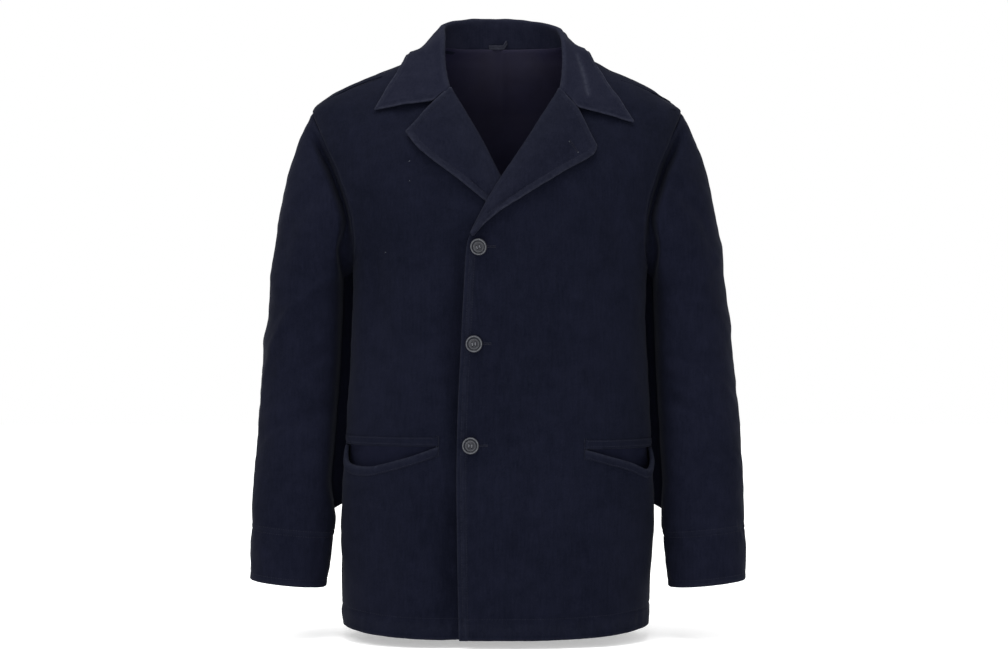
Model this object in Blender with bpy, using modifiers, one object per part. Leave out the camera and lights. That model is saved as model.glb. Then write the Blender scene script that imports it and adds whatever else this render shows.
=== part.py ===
"""Short overcoat, filled out with no wearer in it.

Metres, +Z up. The front faces -Y and +X is the wearer's left. The origin is the middle of
the neck at the height of the back neck seam. Every cloth piece is a wall: its outer surface
is lofted from short section tables and a Solidify modifier gives it its thickness.
"""

import math
from collections import namedtuple

import bmesh
import bpy
from mathutils import Matrix, Vector

# --- driving dimensions, in metres -------------------------------------------------------

HEM_Z = -0.810
ARMPIT_Z = -0.310
SHOULDER_Z = -0.0914
BREAK_Z = -0.2730

SHELL = 0.0020
LAPEL_WALL = 0.0024
COLLAR_WALL = 0.0022
LINING_WALL = 0.0010
TRIM_WALL = 0.0012
SEAM_GAP = 0.0003

ARMHOLE_FRONT = 0.096
ARMHOLE_BACK = 0.104
ARMHOLE_TAPER = 0.50

BUTTON_RADIUS = 0.0115
BUTTON_THICK = 0.0040
BUTTON_SEGMENTS = 20
LOOP_HALF_LENGTH = 0.0135
LOOP_WIDTH = 0.0045
LOOP_BOW = 0.0065
LOOP_Z = 0.004
LOOP_COLUMNS = 8
LINING_DROP = 0.0044
LINING_INSET = 0.05
LINING_COLUMNS = 12

HEM_TURN = 0.028
HEM_RISE = 0.009
CUFF_TURN = 0.068
POCKET_WELT = 0.010
POCKET_BAND = 0.011
POCKET_BAG_SWELL = 0.014
POCKET_BAG_CLEARANCE = 0.0018
POCKET_GAPE = 0.011
SLIT_GAP = 0.0025

RIGHT = -1
LEFT = 1

# --- tables ------------------------------------------------------------------------------

# Horizontal sections of the body form, from the hem to the top of the collar stand.
# centre: x of the section's middle; half_width: to the side seam, the armhole or the
# shoulder seam; front, back: depths from y = 0; power: squareness of the curve.
Section = namedtuple("Section", "z centre half_width front back power")
BODY = (
    Section(-0.8100, -0.0045, 0.2125, 0.1360, 0.1180, 2.60),
    Section(-0.7550, -0.0040, 0.2140, 0.1360, 0.1170, 2.60),
    Section(-0.6400, -0.0020, 0.2165, 0.1360, 0.1160, 2.60),
    Section(-0.5500, -0.0005, 0.2120, 0.1350, 0.1140, 2.60),
    Section(-0.4100, 0.0010, 0.2045, 0.1330, 0.1130, 2.60),
    Section(-0.3100, 0.0010, 0.2035, 0.1320, 0.1150, 2.60),
    Section(-0.2500, 0.0000, 0.2205, 0.1300, 0.1160, 2.70),
    Section(-0.2000, -0.0010, 0.2320, 0.1240, 0.1130, 2.80),
    Section(-0.1650, -0.0020, 0.2390, 0.1150, 0.1080, 2.90),
    Section(-0.1360, -0.0025, 0.2480, 0.1030, 0.1010, 2.90),
    Section(-0.0914, -0.0030, 0.2565, 0.0800, 0.0880, 2.50),
    Section(-0.0691, -0.0035, 0.2290, 0.0670, 0.0790, 2.35),
    Section(-0.0524, -0.0030, 0.1970, 0.0575, 0.0725, 2.25),
    Section(-0.0356, -0.0010, 0.1610, 0.0480, 0.0660, 2.15),
    Section(-0.0176, 0.0030, 0.1230, 0.0380, 0.0600, 2.10),
    Section(0.0000, 0.0050, 0.0895, 0.0300, 0.0545, 2.00),
    Section(0.0250, 0.0025, 0.0805, 0.0270, 0.0530, 2.00),
    Section(0.0500, 0.0015, 0.0735, 0.0250, 0.0515, 2.00),
)

# Sleeve sections below the armpit. outer, inner: distance from the body's middle;
# depth: half the size front to back; bend: y of the middle, forward being minus.
SleeveSection = namedtuple("SleeveSection", "z outer inner depth bend")
SLEEVE = (
    SleeveSection(-0.345, 0.3175, 0.2050, 0.0690, 0.0060),
    SleeveSection(-0.4207, 0.3260, 0.2062, 0.0660, 0.0060),
    SleeveSection(-0.4877, 0.3325, 0.2096, 0.0630, 0.0040),
    SleeveSection(-0.5547, 0.3377, 0.2140, 0.0600, 0.0000),
    SleeveSection(-0.6217, 0.3415, 0.2225, 0.0560, -0.0060),
    SleeveSection(-0.6830, 0.3425, 0.2300, 0.0525, -0.0130),
    SleeveSection(-0.7470, 0.3430, 0.2370, 0.0490, -0.0210),
)
SLEEVE_POWER = 2.15
SLEEVE_OUTSET = {RIGHT: 0.0025, LEFT: -0.0015}
CUFF_SLOPE = 0.0055
CUFF_Z = -0.7440
CAP_FULLNESS = 0.95
SLEEVE_CLEARANCE = 0.0016

# Inner edge of each front, from the hem up: the front edge, the roll line of the lapel and
# then the neck seam.
EdgePoint = namedtuple("EdgePoint", "z x")
FRONT_EDGE = {
    LEFT: (
        EdgePoint(-0.810, -0.0523), EdgePoint(-0.716, -0.0543), EdgePoint(-0.556, -0.0556),
        EdgePoint(-0.410, -0.0497), EdgePoint(-0.333, -0.0456), EdgePoint(-0.2890, -0.0430),
        EdgePoint(-0.2730, -0.0396), EdgePoint(-0.2388, -0.0210), EdgePoint(-0.2031, 0.0003),
        EdgePoint(-0.1526, 0.0339), EdgePoint(-0.1084, 0.0612), EdgePoint(-0.0682, 0.0850),
        EdgePoint(-0.0400, 0.0930), EdgePoint(-0.0150, 0.0955), EdgePoint(0.0000, 0.0950),
    ),
    RIGHT: (
        EdgePoint(-0.810, 0.0580), EdgePoint(-0.716, 0.0590), EdgePoint(-0.556, 0.0590),
        EdgePoint(-0.410, 0.0560), EdgePoint(-0.333, 0.0530), EdgePoint(-0.2890, 0.0500),
        EdgePoint(-0.2730, 0.0440), EdgePoint(-0.2388, 0.0245), EdgePoint(-0.1941, 0.0003),
        EdgePoint(-0.1414, -0.0267), EdgePoint(-0.1003, -0.0499), EdgePoint(-0.0668, -0.0688),
        EdgePoint(-0.0400, -0.0790), EdgePoint(-0.0150, -0.0830), EdgePoint(0.0000, -0.0835),
    ),
}

# Outlines of the lapels: from the break of the roll line along the outer edge to the corner.
OutlinePoint = namedtuple("OutlinePoint", "x z")
LAPEL_EDGE = {
    LEFT: (
        OutlinePoint(-0.0396, -0.2740), OutlinePoint(-0.0050, -0.2415),
        OutlinePoint(0.0337, -0.2160), OutlinePoint(0.0874, -0.1830),
        OutlinePoint(0.1250, -0.1610), OutlinePoint(0.1311, -0.1490),
    ),
    RIGHT: (
        OutlinePoint(0.0440, -0.2740), OutlinePoint(0.0130, -0.2470),
        OutlinePoint(-0.0157, -0.2239), OutlinePoint(-0.0599, -0.1887),
        OutlinePoint(-0.1050, -0.1545), OutlinePoint(-0.1256, -0.1290),
    ),
}
LAPEL_START = {LEFT: 0.05, RIGHT: 0.12}
LAPEL_STOP = 0.986
GORGE_START = {LEFT: OutlinePoint(0.0850, -0.0682), RIGHT: OutlinePoint(-0.0688, -0.0668)}
NOTCH = {LEFT: OutlinePoint(0.1068, -0.0977), RIGHT: OutlinePoint(-0.0881, -0.0876)}
LEAF_TIP = {LEFT: OutlinePoint(0.1820, -0.1155), RIGHT: OutlinePoint(-0.1680, -0.0977)}

# Collar stations from the centre back to the gorge. around: polar angle of the neck seam
# and of the fold, in degrees from the front; stand: height of the fold over the neck seam;
# edge_around, edge_z: where the outer edge lies on the body form.
CollarStation = namedtuple("CollarStation", "around stand edge_around edge_z")
COLLAR = (
    CollarStation(180.0, 0.0460, 180.0, -0.0260),
    CollarStation(158.0, 0.0455, 160.0, -0.0270),
    CollarStation(136.0, 0.0440, 141.0, -0.0275),
    CollarStation(118.0, 0.0405, 120.0, -0.0240),
    CollarStation(104.0, 0.0350, 104.0, -0.0220),
    CollarStation(92.0, 0.0290, 92.0, -0.0215),
)
FRONT_STATIONS = 5
COLLAR_TILT = {RIGHT: 0.0, LEFT: 0.0050}
COLLAR_EDGE_TUCK = {RIGHT: 0.0015, LEFT: 0.0070}
COLLAR_START_Z = -0.006
COLLAR_SIDE_ANGLE = 88.0
COLLAR_SIDE_Z = -0.0215
COLLAR_SIDE_RISE = 0.0235
COLLAR_ROLL = 0.0027
COLLAR_LIFT = 0.0042
COLLAR_SWELL = 0.0022
COLLAR_RIDGE_LIFT = 0.0035
COLLAR_STOP = 0.975
NECK_MIDDLE = Vector((0.006, 0.012, 0.0))

# How far each pocket's lower lip hangs open. at: share of the way from the inner end to
# the side; sag: drop of the lip.
Lip = namedtuple("Lip", "at sag")
POCKET_LIP = {
    RIGHT: (Lip(0.0, 0.0), Lip(0.19, 0.012), Lip(0.37, 0.021), Lip(0.55, 0.028),
            Lip(0.80, 0.023), Lip(1.0, 0.0)),
    LEFT: (Lip(0.0, 0.0), Lip(0.31, 0.012), Lip(0.47, 0.018), Lip(0.69, 0.029),
           Lip(0.86, 0.017), Lip(1.0, 0.0)),
}
# Levels of the pocket bag. drop: depth under the opening; swell: share of its hollow.
BagLevel = namedtuple("BagLevel", "drop swell")
POCKET_BAG = (
    BagLevel(-POCKET_BAND, 0.10), BagLevel(0.0, 0.55), BagLevel(0.020, 0.85),
    BagLevel(0.057, 1.0), BagLevel(0.095, 0.75), BagLevel(0.139, 0.06),
)
POCKET_Z = {RIGHT: -0.5510, LEFT: -0.5550}
POCKET_INNER_X = {RIGHT: -0.0814, LEFT: 0.1155}

ButtonPlace = namedtuple("ButtonPlace", "x z")
BUTTONS = (
    ButtonPlace(-0.0264, -0.2850),
    ButtonPlace(-0.0326, -0.4147),
    ButtonPlace(-0.0373, -0.5508),
)

# Heights of the rows that the panels have in common, and sample counts of the lofts.
SHOULDER_HEIGHTS = (-0.079, -0.067, -0.055, -0.043, -0.031, -0.020, -0.010, -0.0055)
LOWER_BACK_HEIGHTS = (-0.735, -0.650, -0.560, -0.470, -0.400, -0.345)
BACK_NECK_Z = -0.0015

FRONT_COLUMNS_INNER = {RIGHT: 5, LEFT: 6}
FRONT_COLUMNS_OUTER = {RIGHT: 6, LEFT: 5}
BACK_COLUMNS = 18
SLEEVE_COLUMNS = 18
SLEEVE_CAP_ROWS = 6
LAPEL_ROWS = 9
LAPEL_COLUMNS = 4
ARC_SAMPLES = 48

# --- interpolation -----------------------------------------------------------------------


def curve_value(table, at, key, column):
    """Smooth value of a named column at a key, through the rows of a table."""
    keys = [getattr(row, key) for row in table]
    values = [getattr(row, column) for row in table]
    if keys[0] > keys[-1]:
        keys.reverse()
        values.reverse()
    at = min(max(at, keys[0]), keys[-1])
    spot = 0
    while spot < len(keys) - 2 and at > keys[spot + 1]:
        spot += 1
    slopes = []
    for k in (spot, spot + 1):
        before = max(k - 1, 0)
        after = min(k + 1, len(keys) - 1)
        slopes.append((values[after] - values[before]) / (keys[after] - keys[before]))
    step = keys[spot + 1] - keys[spot]
    t = (at - keys[spot]) / step
    return (
        values[spot] * (2 * t**3 - 3 * t**2 + 1)
        + slopes[0] * step * (t**3 - 2 * t**2 + t)
        + values[spot + 1] * (3 * t**2 - 2 * t**3)
        + slopes[1] * step * (t**3 - t**2)
    )


def smooth_step(low, high, value):
    t = min(max((value - low) / (high - low), 0.0), 1.0)
    return t * t * (3 - 2 * t)


def polyline_point(points, share):
    """Point at a share of the length of a polyline of vectors."""
    lengths = [0.0]
    for a, b in zip(points, points[1:]):
        lengths.append(lengths[-1] + (b - a).length)
    target = min(max(share, 0.0), 1.0) * lengths[-1]
    for k in range(len(points) - 1):
        if target <= lengths[k + 1] or k == len(points) - 2:
            t = (target - lengths[k]) / (lengths[k + 1] - lengths[k])
            return points[k].lerp(points[k + 1], t)


# --- body form ---------------------------------------------------------------------------


def body_section(z):
    values = [curve_value(BODY, z, "z", name) for name in Section._fields[1:]]
    return Section(z, *values)


def form_value(point):
    """Zero on the body form, minus inside it and plus outside."""
    section = body_section(point.z)
    depth = section.front if point.y < 0 else section.back
    across = (abs(point.x - section.centre) / section.half_width) ** section.power
    along = (abs(point.y) / depth) ** section.power
    return (across + along) ** (1 / section.power) - 1


def form_normal(point):
    step = 0.0005
    slope = Vector((
        form_value(point + Vector((step, 0, 0))) - form_value(point - Vector((step, 0, 0))),
        form_value(point + Vector((0, step, 0))) - form_value(point - Vector((0, step, 0))),
        form_value(point + Vector((0, 0, step))) - form_value(point - Vector((0, 0, step))),
    )) / (2 * step)
    return slope.normalized(), slope.length


def clear_of_form(point, lift):
    """The point, pushed out where it lies nearer to the body form than the lift."""
    for _ in range(4):
        normal, slope = form_normal(point)
        distance = form_value(point) / slope
        if distance < lift:
            point = point + normal * (lift - distance)
    return point


def polar_point(z, angle):
    """Point of the body form at a height and at an angle from the front, in radians."""
    section = body_section(z)
    side, ahead = math.sin(angle), math.cos(angle)
    depth = section.front if ahead > 0 else section.back
    across = (abs(side) / section.half_width) ** section.power
    along = (abs(ahead) / depth) ** section.power
    radius = (across + along) ** (-1 / section.power)
    return Vector((section.centre + radius * side, -radius * ahead, z))


def front_angle(x, z):
    """Polar angle of the front of the body form at a signed x."""
    section = body_section(z)
    share = min(abs(x - section.centre) / section.half_width, 0.9999)
    y = section.front * (1 - share**section.power) ** (1 / section.power)
    return math.atan2(x - section.centre, y)


def front_point(x, z, lift=0.0):
    """Point on the front of the body form, moved out by a lift."""
    point = polar_point(z, front_angle(x, z))
    if lift:
        normal, _ = form_normal(point)
        point = point + normal * lift
    return point


def arc_points(z, start, stop, shares):
    """Points of one section between two angles, at shares of the arc's length."""
    fine = [polar_point(z, start + (stop - start) * k / ARC_SAMPLES) for k in range(ARC_SAMPLES + 1)]
    return [polyline_point(fine, share) for share in shares]


def hem_raised(points, rise):
    """Points of a hem row, raised towards the sides."""
    section = body_section(points[0].z)
    raised = []
    for point in points:
        share = min(abs(point.x - section.centre) / section.half_width, 1.0)
        raised.append(point + Vector((0, 0, rise * share**3)))
    return raised


def arc_length(z, start, stop):
    fine = [polar_point(z, start + (stop - start) * k / ARC_SAMPLES) for k in range(ARC_SAMPLES + 1)]
    return sum((b - a).length for a, b in zip(fine, fine[1:]))


# --- armhole -----------------------------------------------------------------------------


def armhole_half_depth(z, front):
    """Half opening of the armhole, front or back, at a height."""
    middle = (SHOULDER_Z + ARMPIT_Z) / 2
    reach = (SHOULDER_Z - ARMPIT_Z) / 2
    up = (z - middle) / reach
    if abs(up) >= 1:
        return 0.0
    widest = ARMHOLE_FRONT if front else ARMHOLE_BACK
    return widest * math.sqrt(1 - up * up) * (1 - ARMHOLE_TAPER * (1 + up) / 2)


def armhole_angle(z, side, front):
    """Polar angle at which a panel ends: armhole, side seam or shoulder seam."""
    section = body_section(z)
    depth = section.front if front else section.back
    y = max(armhole_half_depth(z, front), 0.0)
    share = min(y / depth, 0.999)
    x = section.half_width * (1 - share**section.power) ** (1 / section.power)
    from_front = math.atan2(x, y if front else -y)
    return side * from_front


def armhole_heights():
    """Heights, from the armpit up, at which the panels and the sleeve share their points."""
    middle = (SHOULDER_Z + ARMPIT_Z) / 2
    reach = (SHOULDER_Z - ARMPIT_Z) / 2
    half = SLEEVE_COLUMNS // 2
    return [middle - reach * math.cos(math.pi * k / half) for k in range(half + 1)]


def armhole_ring_point(side, turn):
    """Point of the armhole: turn 0 is its top, a quarter its front, a half its bottom."""
    middle = (SHOULDER_Z + ARMPIT_Z) / 2
    reach = (SHOULDER_Z - ARMPIT_Z) / 2
    z = middle + reach * math.cos(turn) * 0.9999
    front = math.sin(turn) >= 0
    return polar_point(z, armhole_angle(z, side, front))


# --- mesh helpers ------------------------------------------------------------------------


def make_material(name, colour, roughness, metallic=0.0):
    material = bpy.data.materials.new(name)
    material.use_nodes = True
    shader = material.node_tree.nodes["Principled BSDF"]
    shader.inputs["Base Color"].default_value = (*colour, 1.0)
    shader.inputs["Roughness"].default_value = roughness
    shader.inputs["Metallic"].default_value = metallic
    material.diffuse_color = (*colour, 1.0)
    return material


def cloth_material(name, shade=1.0):
    return make_material(name, (0.013 * shade, 0.015 * shade, 0.030 * shade), 0.92)


def grid_mesh(name, rows, ring=False, skip=()):
    """Mesh of quads between rows of points; skip holds (row, column) cells left open."""
    bm = bmesh.new()
    verts = [[bm.verts.new(point) for point in row] for row in rows]
    columns = len(rows[0])
    cells = columns if ring else columns - 1
    for i in range(len(rows) - 1):
        for j in range(cells):
            if (i, j) in skip:
                continue
            k = (j + 1) % columns
            bm.faces.new((verts[i][j], verts[i][k], verts[i + 1][k], verts[i + 1][j]))
    loose = [vert for vert in bm.verts if not vert.link_faces]
    bmesh.ops.delete(bm, geom=loose, context="VERTS")
    mesh = bpy.data.meshes.new(name)
    bm.to_mesh(mesh)
    bm.free()
    return mesh


def add_sheet(name, rows, wall, material, collection, inward=True, ring=False, skip=()):
    """Cloth wall from rows of points, thickened to one side of them."""
    item = bpy.data.objects.new(name, grid_mesh(name, rows, ring, skip))
    item.data.materials.append(material)
    collection.objects.link(item)
    solid = item.modifiers.new("wall", "SOLIDIFY")
    solid.thickness = wall
    solid.offset = -1.0 if inward else 1.0
    solid.use_even_offset = True
    return item


def row_normals(rows, ring=False):
    """Outward unit normals at the points of a grid of rows."""
    count = len(rows[0])
    normals = []
    for i, row in enumerate(rows):
        line = []
        below = rows[max(i - 1, 0)]
        above = rows[min(i + 1, len(rows) - 1)]
        for j in range(count):
            before = (j - 1) % count if ring else max(j - 1, 0)
            after = (j + 1) % count if ring else min(j + 1, count - 1)
            across = row[after] - row[before]
            line.append(across.cross(above[j] - below[j]).normalized())
        normals.append(line)
    return normals


def moved_rows(rows, normals, first, last, start, stop, lift):
    """Part of a grid of rows, moved out by a lift."""
    return [
        [rows[i][j] + normals[i][j] * lift for j in range(start, stop + 1)]
        for i in range(first, last + 1)
    ]


# --- fronts ------------------------------------------------------------------------------


def under_drop(x, z):
    """How far the under front lies below the form, where the other front laps over it."""
    lap = smooth_step(-0.125, -0.060, x)
    above_break = smooth_step(-0.320, -0.200, z)
    below_neck = 1 - smooth_step(-0.185, -0.090, z)
    return lap * below_neck * (0.0048 + 0.0052 * above_break)


def front_ends(side, z):
    """Start and stop angles of a front at a height."""
    inner = curve_value(FRONT_EDGE[side], z, "z", "x")
    outer = armhole_angle(z, side, True)
    seam = 2 * SEAM_GAP / body_section(z).half_width
    return front_angle(inner, z), outer - side * seam


def front_split(side):
    """Share of the way from the front edge to the side seam where the pocket starts."""
    z = POCKET_Z[side]
    start, stop = front_ends(side, z)
    target = POCKET_INNER_X[side]
    low, high = 0.0, 1.0
    for _ in range(30):
        middle = (low + high) / 2
        x = arc_points(z, start, stop, [middle])[0].x
        if (x - target) * side < 0:
            low = middle
        else:
            high = middle
    return low


def front_shares(side):
    split = front_split(side)
    inner = FRONT_COLUMNS_INNER[side]
    outer = FRONT_COLUMNS_OUTER[side]
    shares = [split * k / inner for k in range(inner)]
    return shares + [split + (1 - split) * k / outer for k in range(outer + 1)]


def cut_shares(shares, kept):
    """Shares of a full row, squeezed near its end where the armhole cuts the row short."""
    return [share - (1 - kept) * share**3 for share in shares]


def front_row(side, z):
    """Points of a front at a height, at its column shares."""
    start, stop = front_ends(side, z)
    whole = side * (math.pi / 2 - 2 * SEAM_GAP / body_section(z).half_width)
    kept = min(arc_length(z, start, stop) / arc_length(z, start, whole), 1.0)
    row = arc_points(z, start, whole, cut_shares(front_shares(side), kept))
    if side == RIGHT:
        row = [p + Vector((0, under_drop(p.x, z), 0)) for p in row]
    return row


def pocket_columns(side):
    """First and last column of the pocket opening."""
    first = FRONT_COLUMNS_INNER[side]
    return first, first + FRONT_COLUMNS_OUTER[side] - 1


def lip_share(side, column):
    first, last = pocket_columns(side)
    return min(max((column - first) / (last - first), 0.0), 1.0)


def opened(side, row, drop_share, out_share):
    """A row near the pocket, lowered and pushed out as the lip hangs open."""
    result = []
    for column, point in enumerate(row):
        sag = max(curve_value(POCKET_LIP[side], lip_share(side, column), "at", "sag"), 0.0)
        normal, _ = form_normal(point)
        out = Vector((normal.x, normal.y, 0)) * (POCKET_GAPE * out_share * sag / 0.029)
        result.append(point + out + Vector((0, 0, -sag * drop_share)))
    return result


def front_rows(side):
    """Rows of a front from the hem to the neck, and the index of the pocket's lower lip."""
    slit = POCKET_Z[side]
    rows = [hem_raised(front_row(side, HEM_Z), HEM_RISE)]
    rows.append(hem_raised(front_row(side, HEM_Z + HEM_TURN), HEM_RISE * 0.8))
    rows += [front_row(side, z) for z in (-0.735, -0.690, -0.640)]
    rows.append(opened(side, front_row(side, -0.608), 0.15, 0.35))
    rows.append(opened(side, front_row(side, slit - SLIT_GAP - POCKET_WELT), 0.97, 0.85))
    rows.append(opened(side, front_row(side, slit - SLIT_GAP), 1.0, 1.0))
    lip = len(rows) - 1
    rows.append(front_row(side, slit))
    rows.append(front_row(side, slit + POCKET_BAND))
    rows += [front_row(side, z) for z in (-0.490, -0.440, -0.390, -0.345)]
    rows += [front_row(side, z) for z in armhole_heights()]
    rows += [front_row(side, z) for z in SHOULDER_HEIGHTS]
    return rows, lip


def ordered(side, rows):
    """Rows with their columns running from the wearer's right to the left."""
    return rows if side == LEFT else [list(reversed(row)) for row in rows]


def build_front(side, name, collection):
    rows, lip = front_rows(side)
    count = len(rows[0])
    first, last = pocket_columns(side)
    skip = set()
    for column in range(first, last):
        skip.add((lip, column if side == LEFT else count - 2 - column))
    material = cloth_material(name + "_cloth")
    return add_sheet(name, ordered(side, rows), SHELL, material, collection, skip=skip)


def build_pocket(side, word, collection):
    """Welt on the lower lip, stitched band over the opening, and the bag behind it."""
    rows, lip = front_rows(side)
    rows = ordered(side, rows)
    normals = row_normals(rows)
    first, last = pocket_columns(side)
    if side == RIGHT:
        count = len(rows[0])
        first, last = count - 1 - last, count - 1 - first
    lift = SEAM_GAP + 0.0001
    welt = moved_rows(rows, normals, lip - 1, lip, first, last, lift)
    band = moved_rows(rows, normals, lip + 1, lip + 2, first, last, lift)
    welt_material = cloth_material("pocket_welt_cloth_" + word, 1.25)
    band_material = cloth_material("pocket_band_cloth_" + word, 1.15)
    add_sheet("pocket_welt_" + word, welt, TRIM_WALL, welt_material, collection, inward=False)
    add_sheet("pocket_band_" + word, band, TRIM_WALL, band_material, collection, inward=False)
    build_pocket_bag(side, word, first, last, collection)


def build_pocket_bag(side, word, first, last, collection):
    """Back layer of the pocket, behind the front, swelling inwards below the opening."""
    bag = []
    for level in POCKET_BAG:
        row = ordered(side, [front_row(side, POCKET_Z[side] - level.drop)])[0]
        line = []
        for column in range(first, last + 1):
            across = (column - first) / (last - first)
            normal, _ = form_normal(row[column])
            aside = Vector((normal.x, normal.y, 0)).normalized()
            hollow = max(math.sin(math.pi * across), 0.0) ** 0.7
            deep = SHELL + POCKET_BAG_CLEARANCE + POCKET_BAG_SWELL * level.swell * hollow
            line.append(row[column] - aside * deep)
        bag.append(line)
    material = cloth_material("pocket_bag_cloth_" + word, 0.7)
    add_sheet("pocket_bag_" + word, bag, TRIM_WALL, material, collection)


# --- lapels ------------------------------------------------------------------------------


def roll_points(side):
    """Roll line of a lapel, from its break to the gorge, as vectors in x and z."""
    top = GORGE_START[side]
    heights = [BREAK_Z + (top.z - BREAK_Z) * k / 12 for k in range(13)]
    return [Vector((curve_value(FRONT_EDGE[side], z, "z", "x"), 0, z)) for z in heights]


def flat(point):
    return Vector((point.x, 0, point.z))


def lapel_plan(side, up, across):
    """Point of a lapel in x and z: up from the break to the gorge, across from the roll."""
    roll = roll_points(side)
    edge = [flat(p) for p in LAPEL_EDGE[side]]
    top = [flat(GORGE_START[side]), flat(NOTCH[side]), edge[-1]]
    start = polyline_point(roll, up)
    stop = polyline_point(edge, up)
    ruled = start.lerp(stop, across)
    bend = polyline_point(top, across) - roll[-1].lerp(edge[-1], across)
    return ruled + bend * up**3


def lapel_lift(side, up, across):
    """Height of the lapel's inner face over the front, small at the roll line."""
    rise = 0.0006 + 0.0028 * math.sin(math.pi * min(across * 1.25, 1.0)) + 0.0012 * across
    return rise if side == LEFT else rise * (0.45 + 0.55 * smooth_step(0.15, 0.6, up))


def lapel_rows(side, row_count, column_count):
    rows = []
    low = LAPEL_START[side]
    for i in range(row_count + 1):
        up = low + (LAPEL_STOP - low) * i / row_count
        row = []
        for j in range(column_count + 1):
            across = j / column_count
            spot = lapel_plan(side, up, across)
            spot.x += side * 0.0006 * (1 - across)
            point = front_point(spot.x, spot.z, lapel_lift(side, up, across) + 0.0004)
            if side == RIGHT:
                point.y += under_drop(point.x, spot.z)
            row.append(point)
        rows.append(row)
    return ordered(side, rows)


def build_lapel(side, name, collection):
    rows = lapel_rows(side, LAPEL_ROWS, LAPEL_COLUMNS)
    material = cloth_material(name + "_cloth", 1.35)
    return add_sheet(name, rows, LAPEL_WALL, material, collection, inward=False)


# --- back --------------------------------------------------------------------------------


def back_row(z, columns=BACK_COLUMNS):
    """Points of the back at a height, from the wearer's left to the right."""
    seam = 2 * SEAM_GAP / body_section(z).half_width
    shares = [2 * k / columns for k in range(columns // 2 + 1)]
    halves = {}
    for side in (LEFT, RIGHT):
        whole = side * (math.pi / 2 + seam)
        cut = armhole_angle(z, side, False) + side * seam
        middle = side * math.pi
        kept = min(arc_length(z, middle, cut) / arc_length(z, middle, whole), 1.0)
        halves[side] = arc_points(z, middle, whole, cut_shares(shares, kept))
    return list(reversed(halves[LEFT])) + halves[RIGHT][1:]


def build_back(collection):
    rows = [hem_raised(back_row(HEM_Z), HEM_RISE)]
    rows.append(hem_raised(back_row(HEM_Z + HEM_TURN), HEM_RISE * 0.8))
    rows += [back_row(z) for z in LOWER_BACK_HEIGHTS]
    rows += [back_row(z) for z in armhole_heights()]
    rows += [back_row(z) for z in SHOULDER_HEIGHTS]
    rows.append(back_row(BACK_NECK_Z))
    add_sheet("back", rows, SHELL, cloth_material("back_cloth"), collection)


def build_back_lining(collection):
    """Lining of the back, seen through the neck."""
    heights = (-0.780, -0.640, -0.520, -0.400, -0.325, -0.270, -0.215, -0.165, -0.115, -0.085,
               -0.060, -0.036, -0.016, -0.004)
    rows = []
    for z in heights:
        row = back_row(z, LINING_COLUMNS)
        inside = []
        for k, point in enumerate(row):
            normal, _ = form_normal(point)
            level = Vector((normal.x, normal.y, 0)).normalized()
            share = abs(2 * k / LINING_COLUMNS - 1)
            inwards = Vector((body_section(z).centre - point.x, 0, 0))
            inset = inwards * LINING_INSET * share**4
            inside.append(point - level * LINING_DROP + inset)
        rows.append(inside)
    material = make_material("back_lining_cloth", (0.016, 0.013, 0.027), 0.6)
    add_sheet("back_lining", rows, LINING_WALL, material, collection)


# --- sleeves -----------------------------------------------------------------------------


def sleeve_ring_point(side, z, turn):
    """Point of a sleeve section: turn 0 is its outer side, a quarter its front."""
    row = [curve_value(SLEEVE, z, "z", name) for name in SleeveSection._fields[1:]]
    outer, inner, depth, bend = row
    centre = body_section(z).centre * 0.4
    outer = outer + SLEEVE_OUTSET[side] * (1 - smooth_step(-0.34, -0.55, z))
    half = (outer - inner) / 2
    level = (outer + inner) / 2
    side_part, ahead = math.cos(turn), math.sin(turn)
    power = SLEEVE_POWER
    radius = (abs(side_part) ** power + abs(ahead) ** power) ** (-1 / power)
    x = level + half * radius * side_part
    y = bend - depth * radius * ahead
    return Vector((centre + side * x, y, z))


def beside_body(side, turn, point):
    """A point of the sleeve's inner side, kept just clear of the body."""
    if math.cos(turn) > 0:
        return point
    section = body_section(point.z)
    depth = section.front if point.y < 0 else section.back
    share = min(abs(point.y) / depth, 1.0)
    wide = section.half_width * (1 - share**section.power) ** (1 / section.power)
    nearest = section.centre + side * (wide + SLEEVE_CLEARANCE)
    x = max(point.x * side, nearest * side) * side
    return Vector((x, point.y, point.z))


def cap_leave(side, turn):
    """Direction in which the sleeve leaves the armhole."""
    top = (1 + math.cos(turn)) / 2
    steep = math.radians(59 + 20 * (1 - top) ** 2 - 12 * math.sin(turn) ** 2)
    swell = 0.30 * math.sin(turn)
    return Vector((side * math.cos(steep), -swell, -math.sin(steep))).normalized()


def sleeve_rows(side, columns, cap_rows):
    """Rings of a sleeve from the cuff up to the armhole."""
    turns = [2 * math.pi * k / columns for k in range(columns)]
    rings = []
    for z in (CUFF_Z, CUFF_Z + CUFF_TURN, -0.620, -0.555, -0.488, -0.420):
        ring = []
        for turn in turns:
            point = sleeve_ring_point(side, z, turn)
            slope = CUFF_SLOPE * smooth_step(-0.60, CUFF_Z, z)
            point.z += slope * math.cos(turn)
            ring.append(beside_body(side, turn, point))
        rings.append(ring)
    for k in range(cap_rows):
        t = k / cap_rows
        rings.append([cap_point(side, turn, 1 - t) for turn in turns])
    rings.append([cap_point(side, turn, 0.0) for turn in turns])
    return rings


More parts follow.
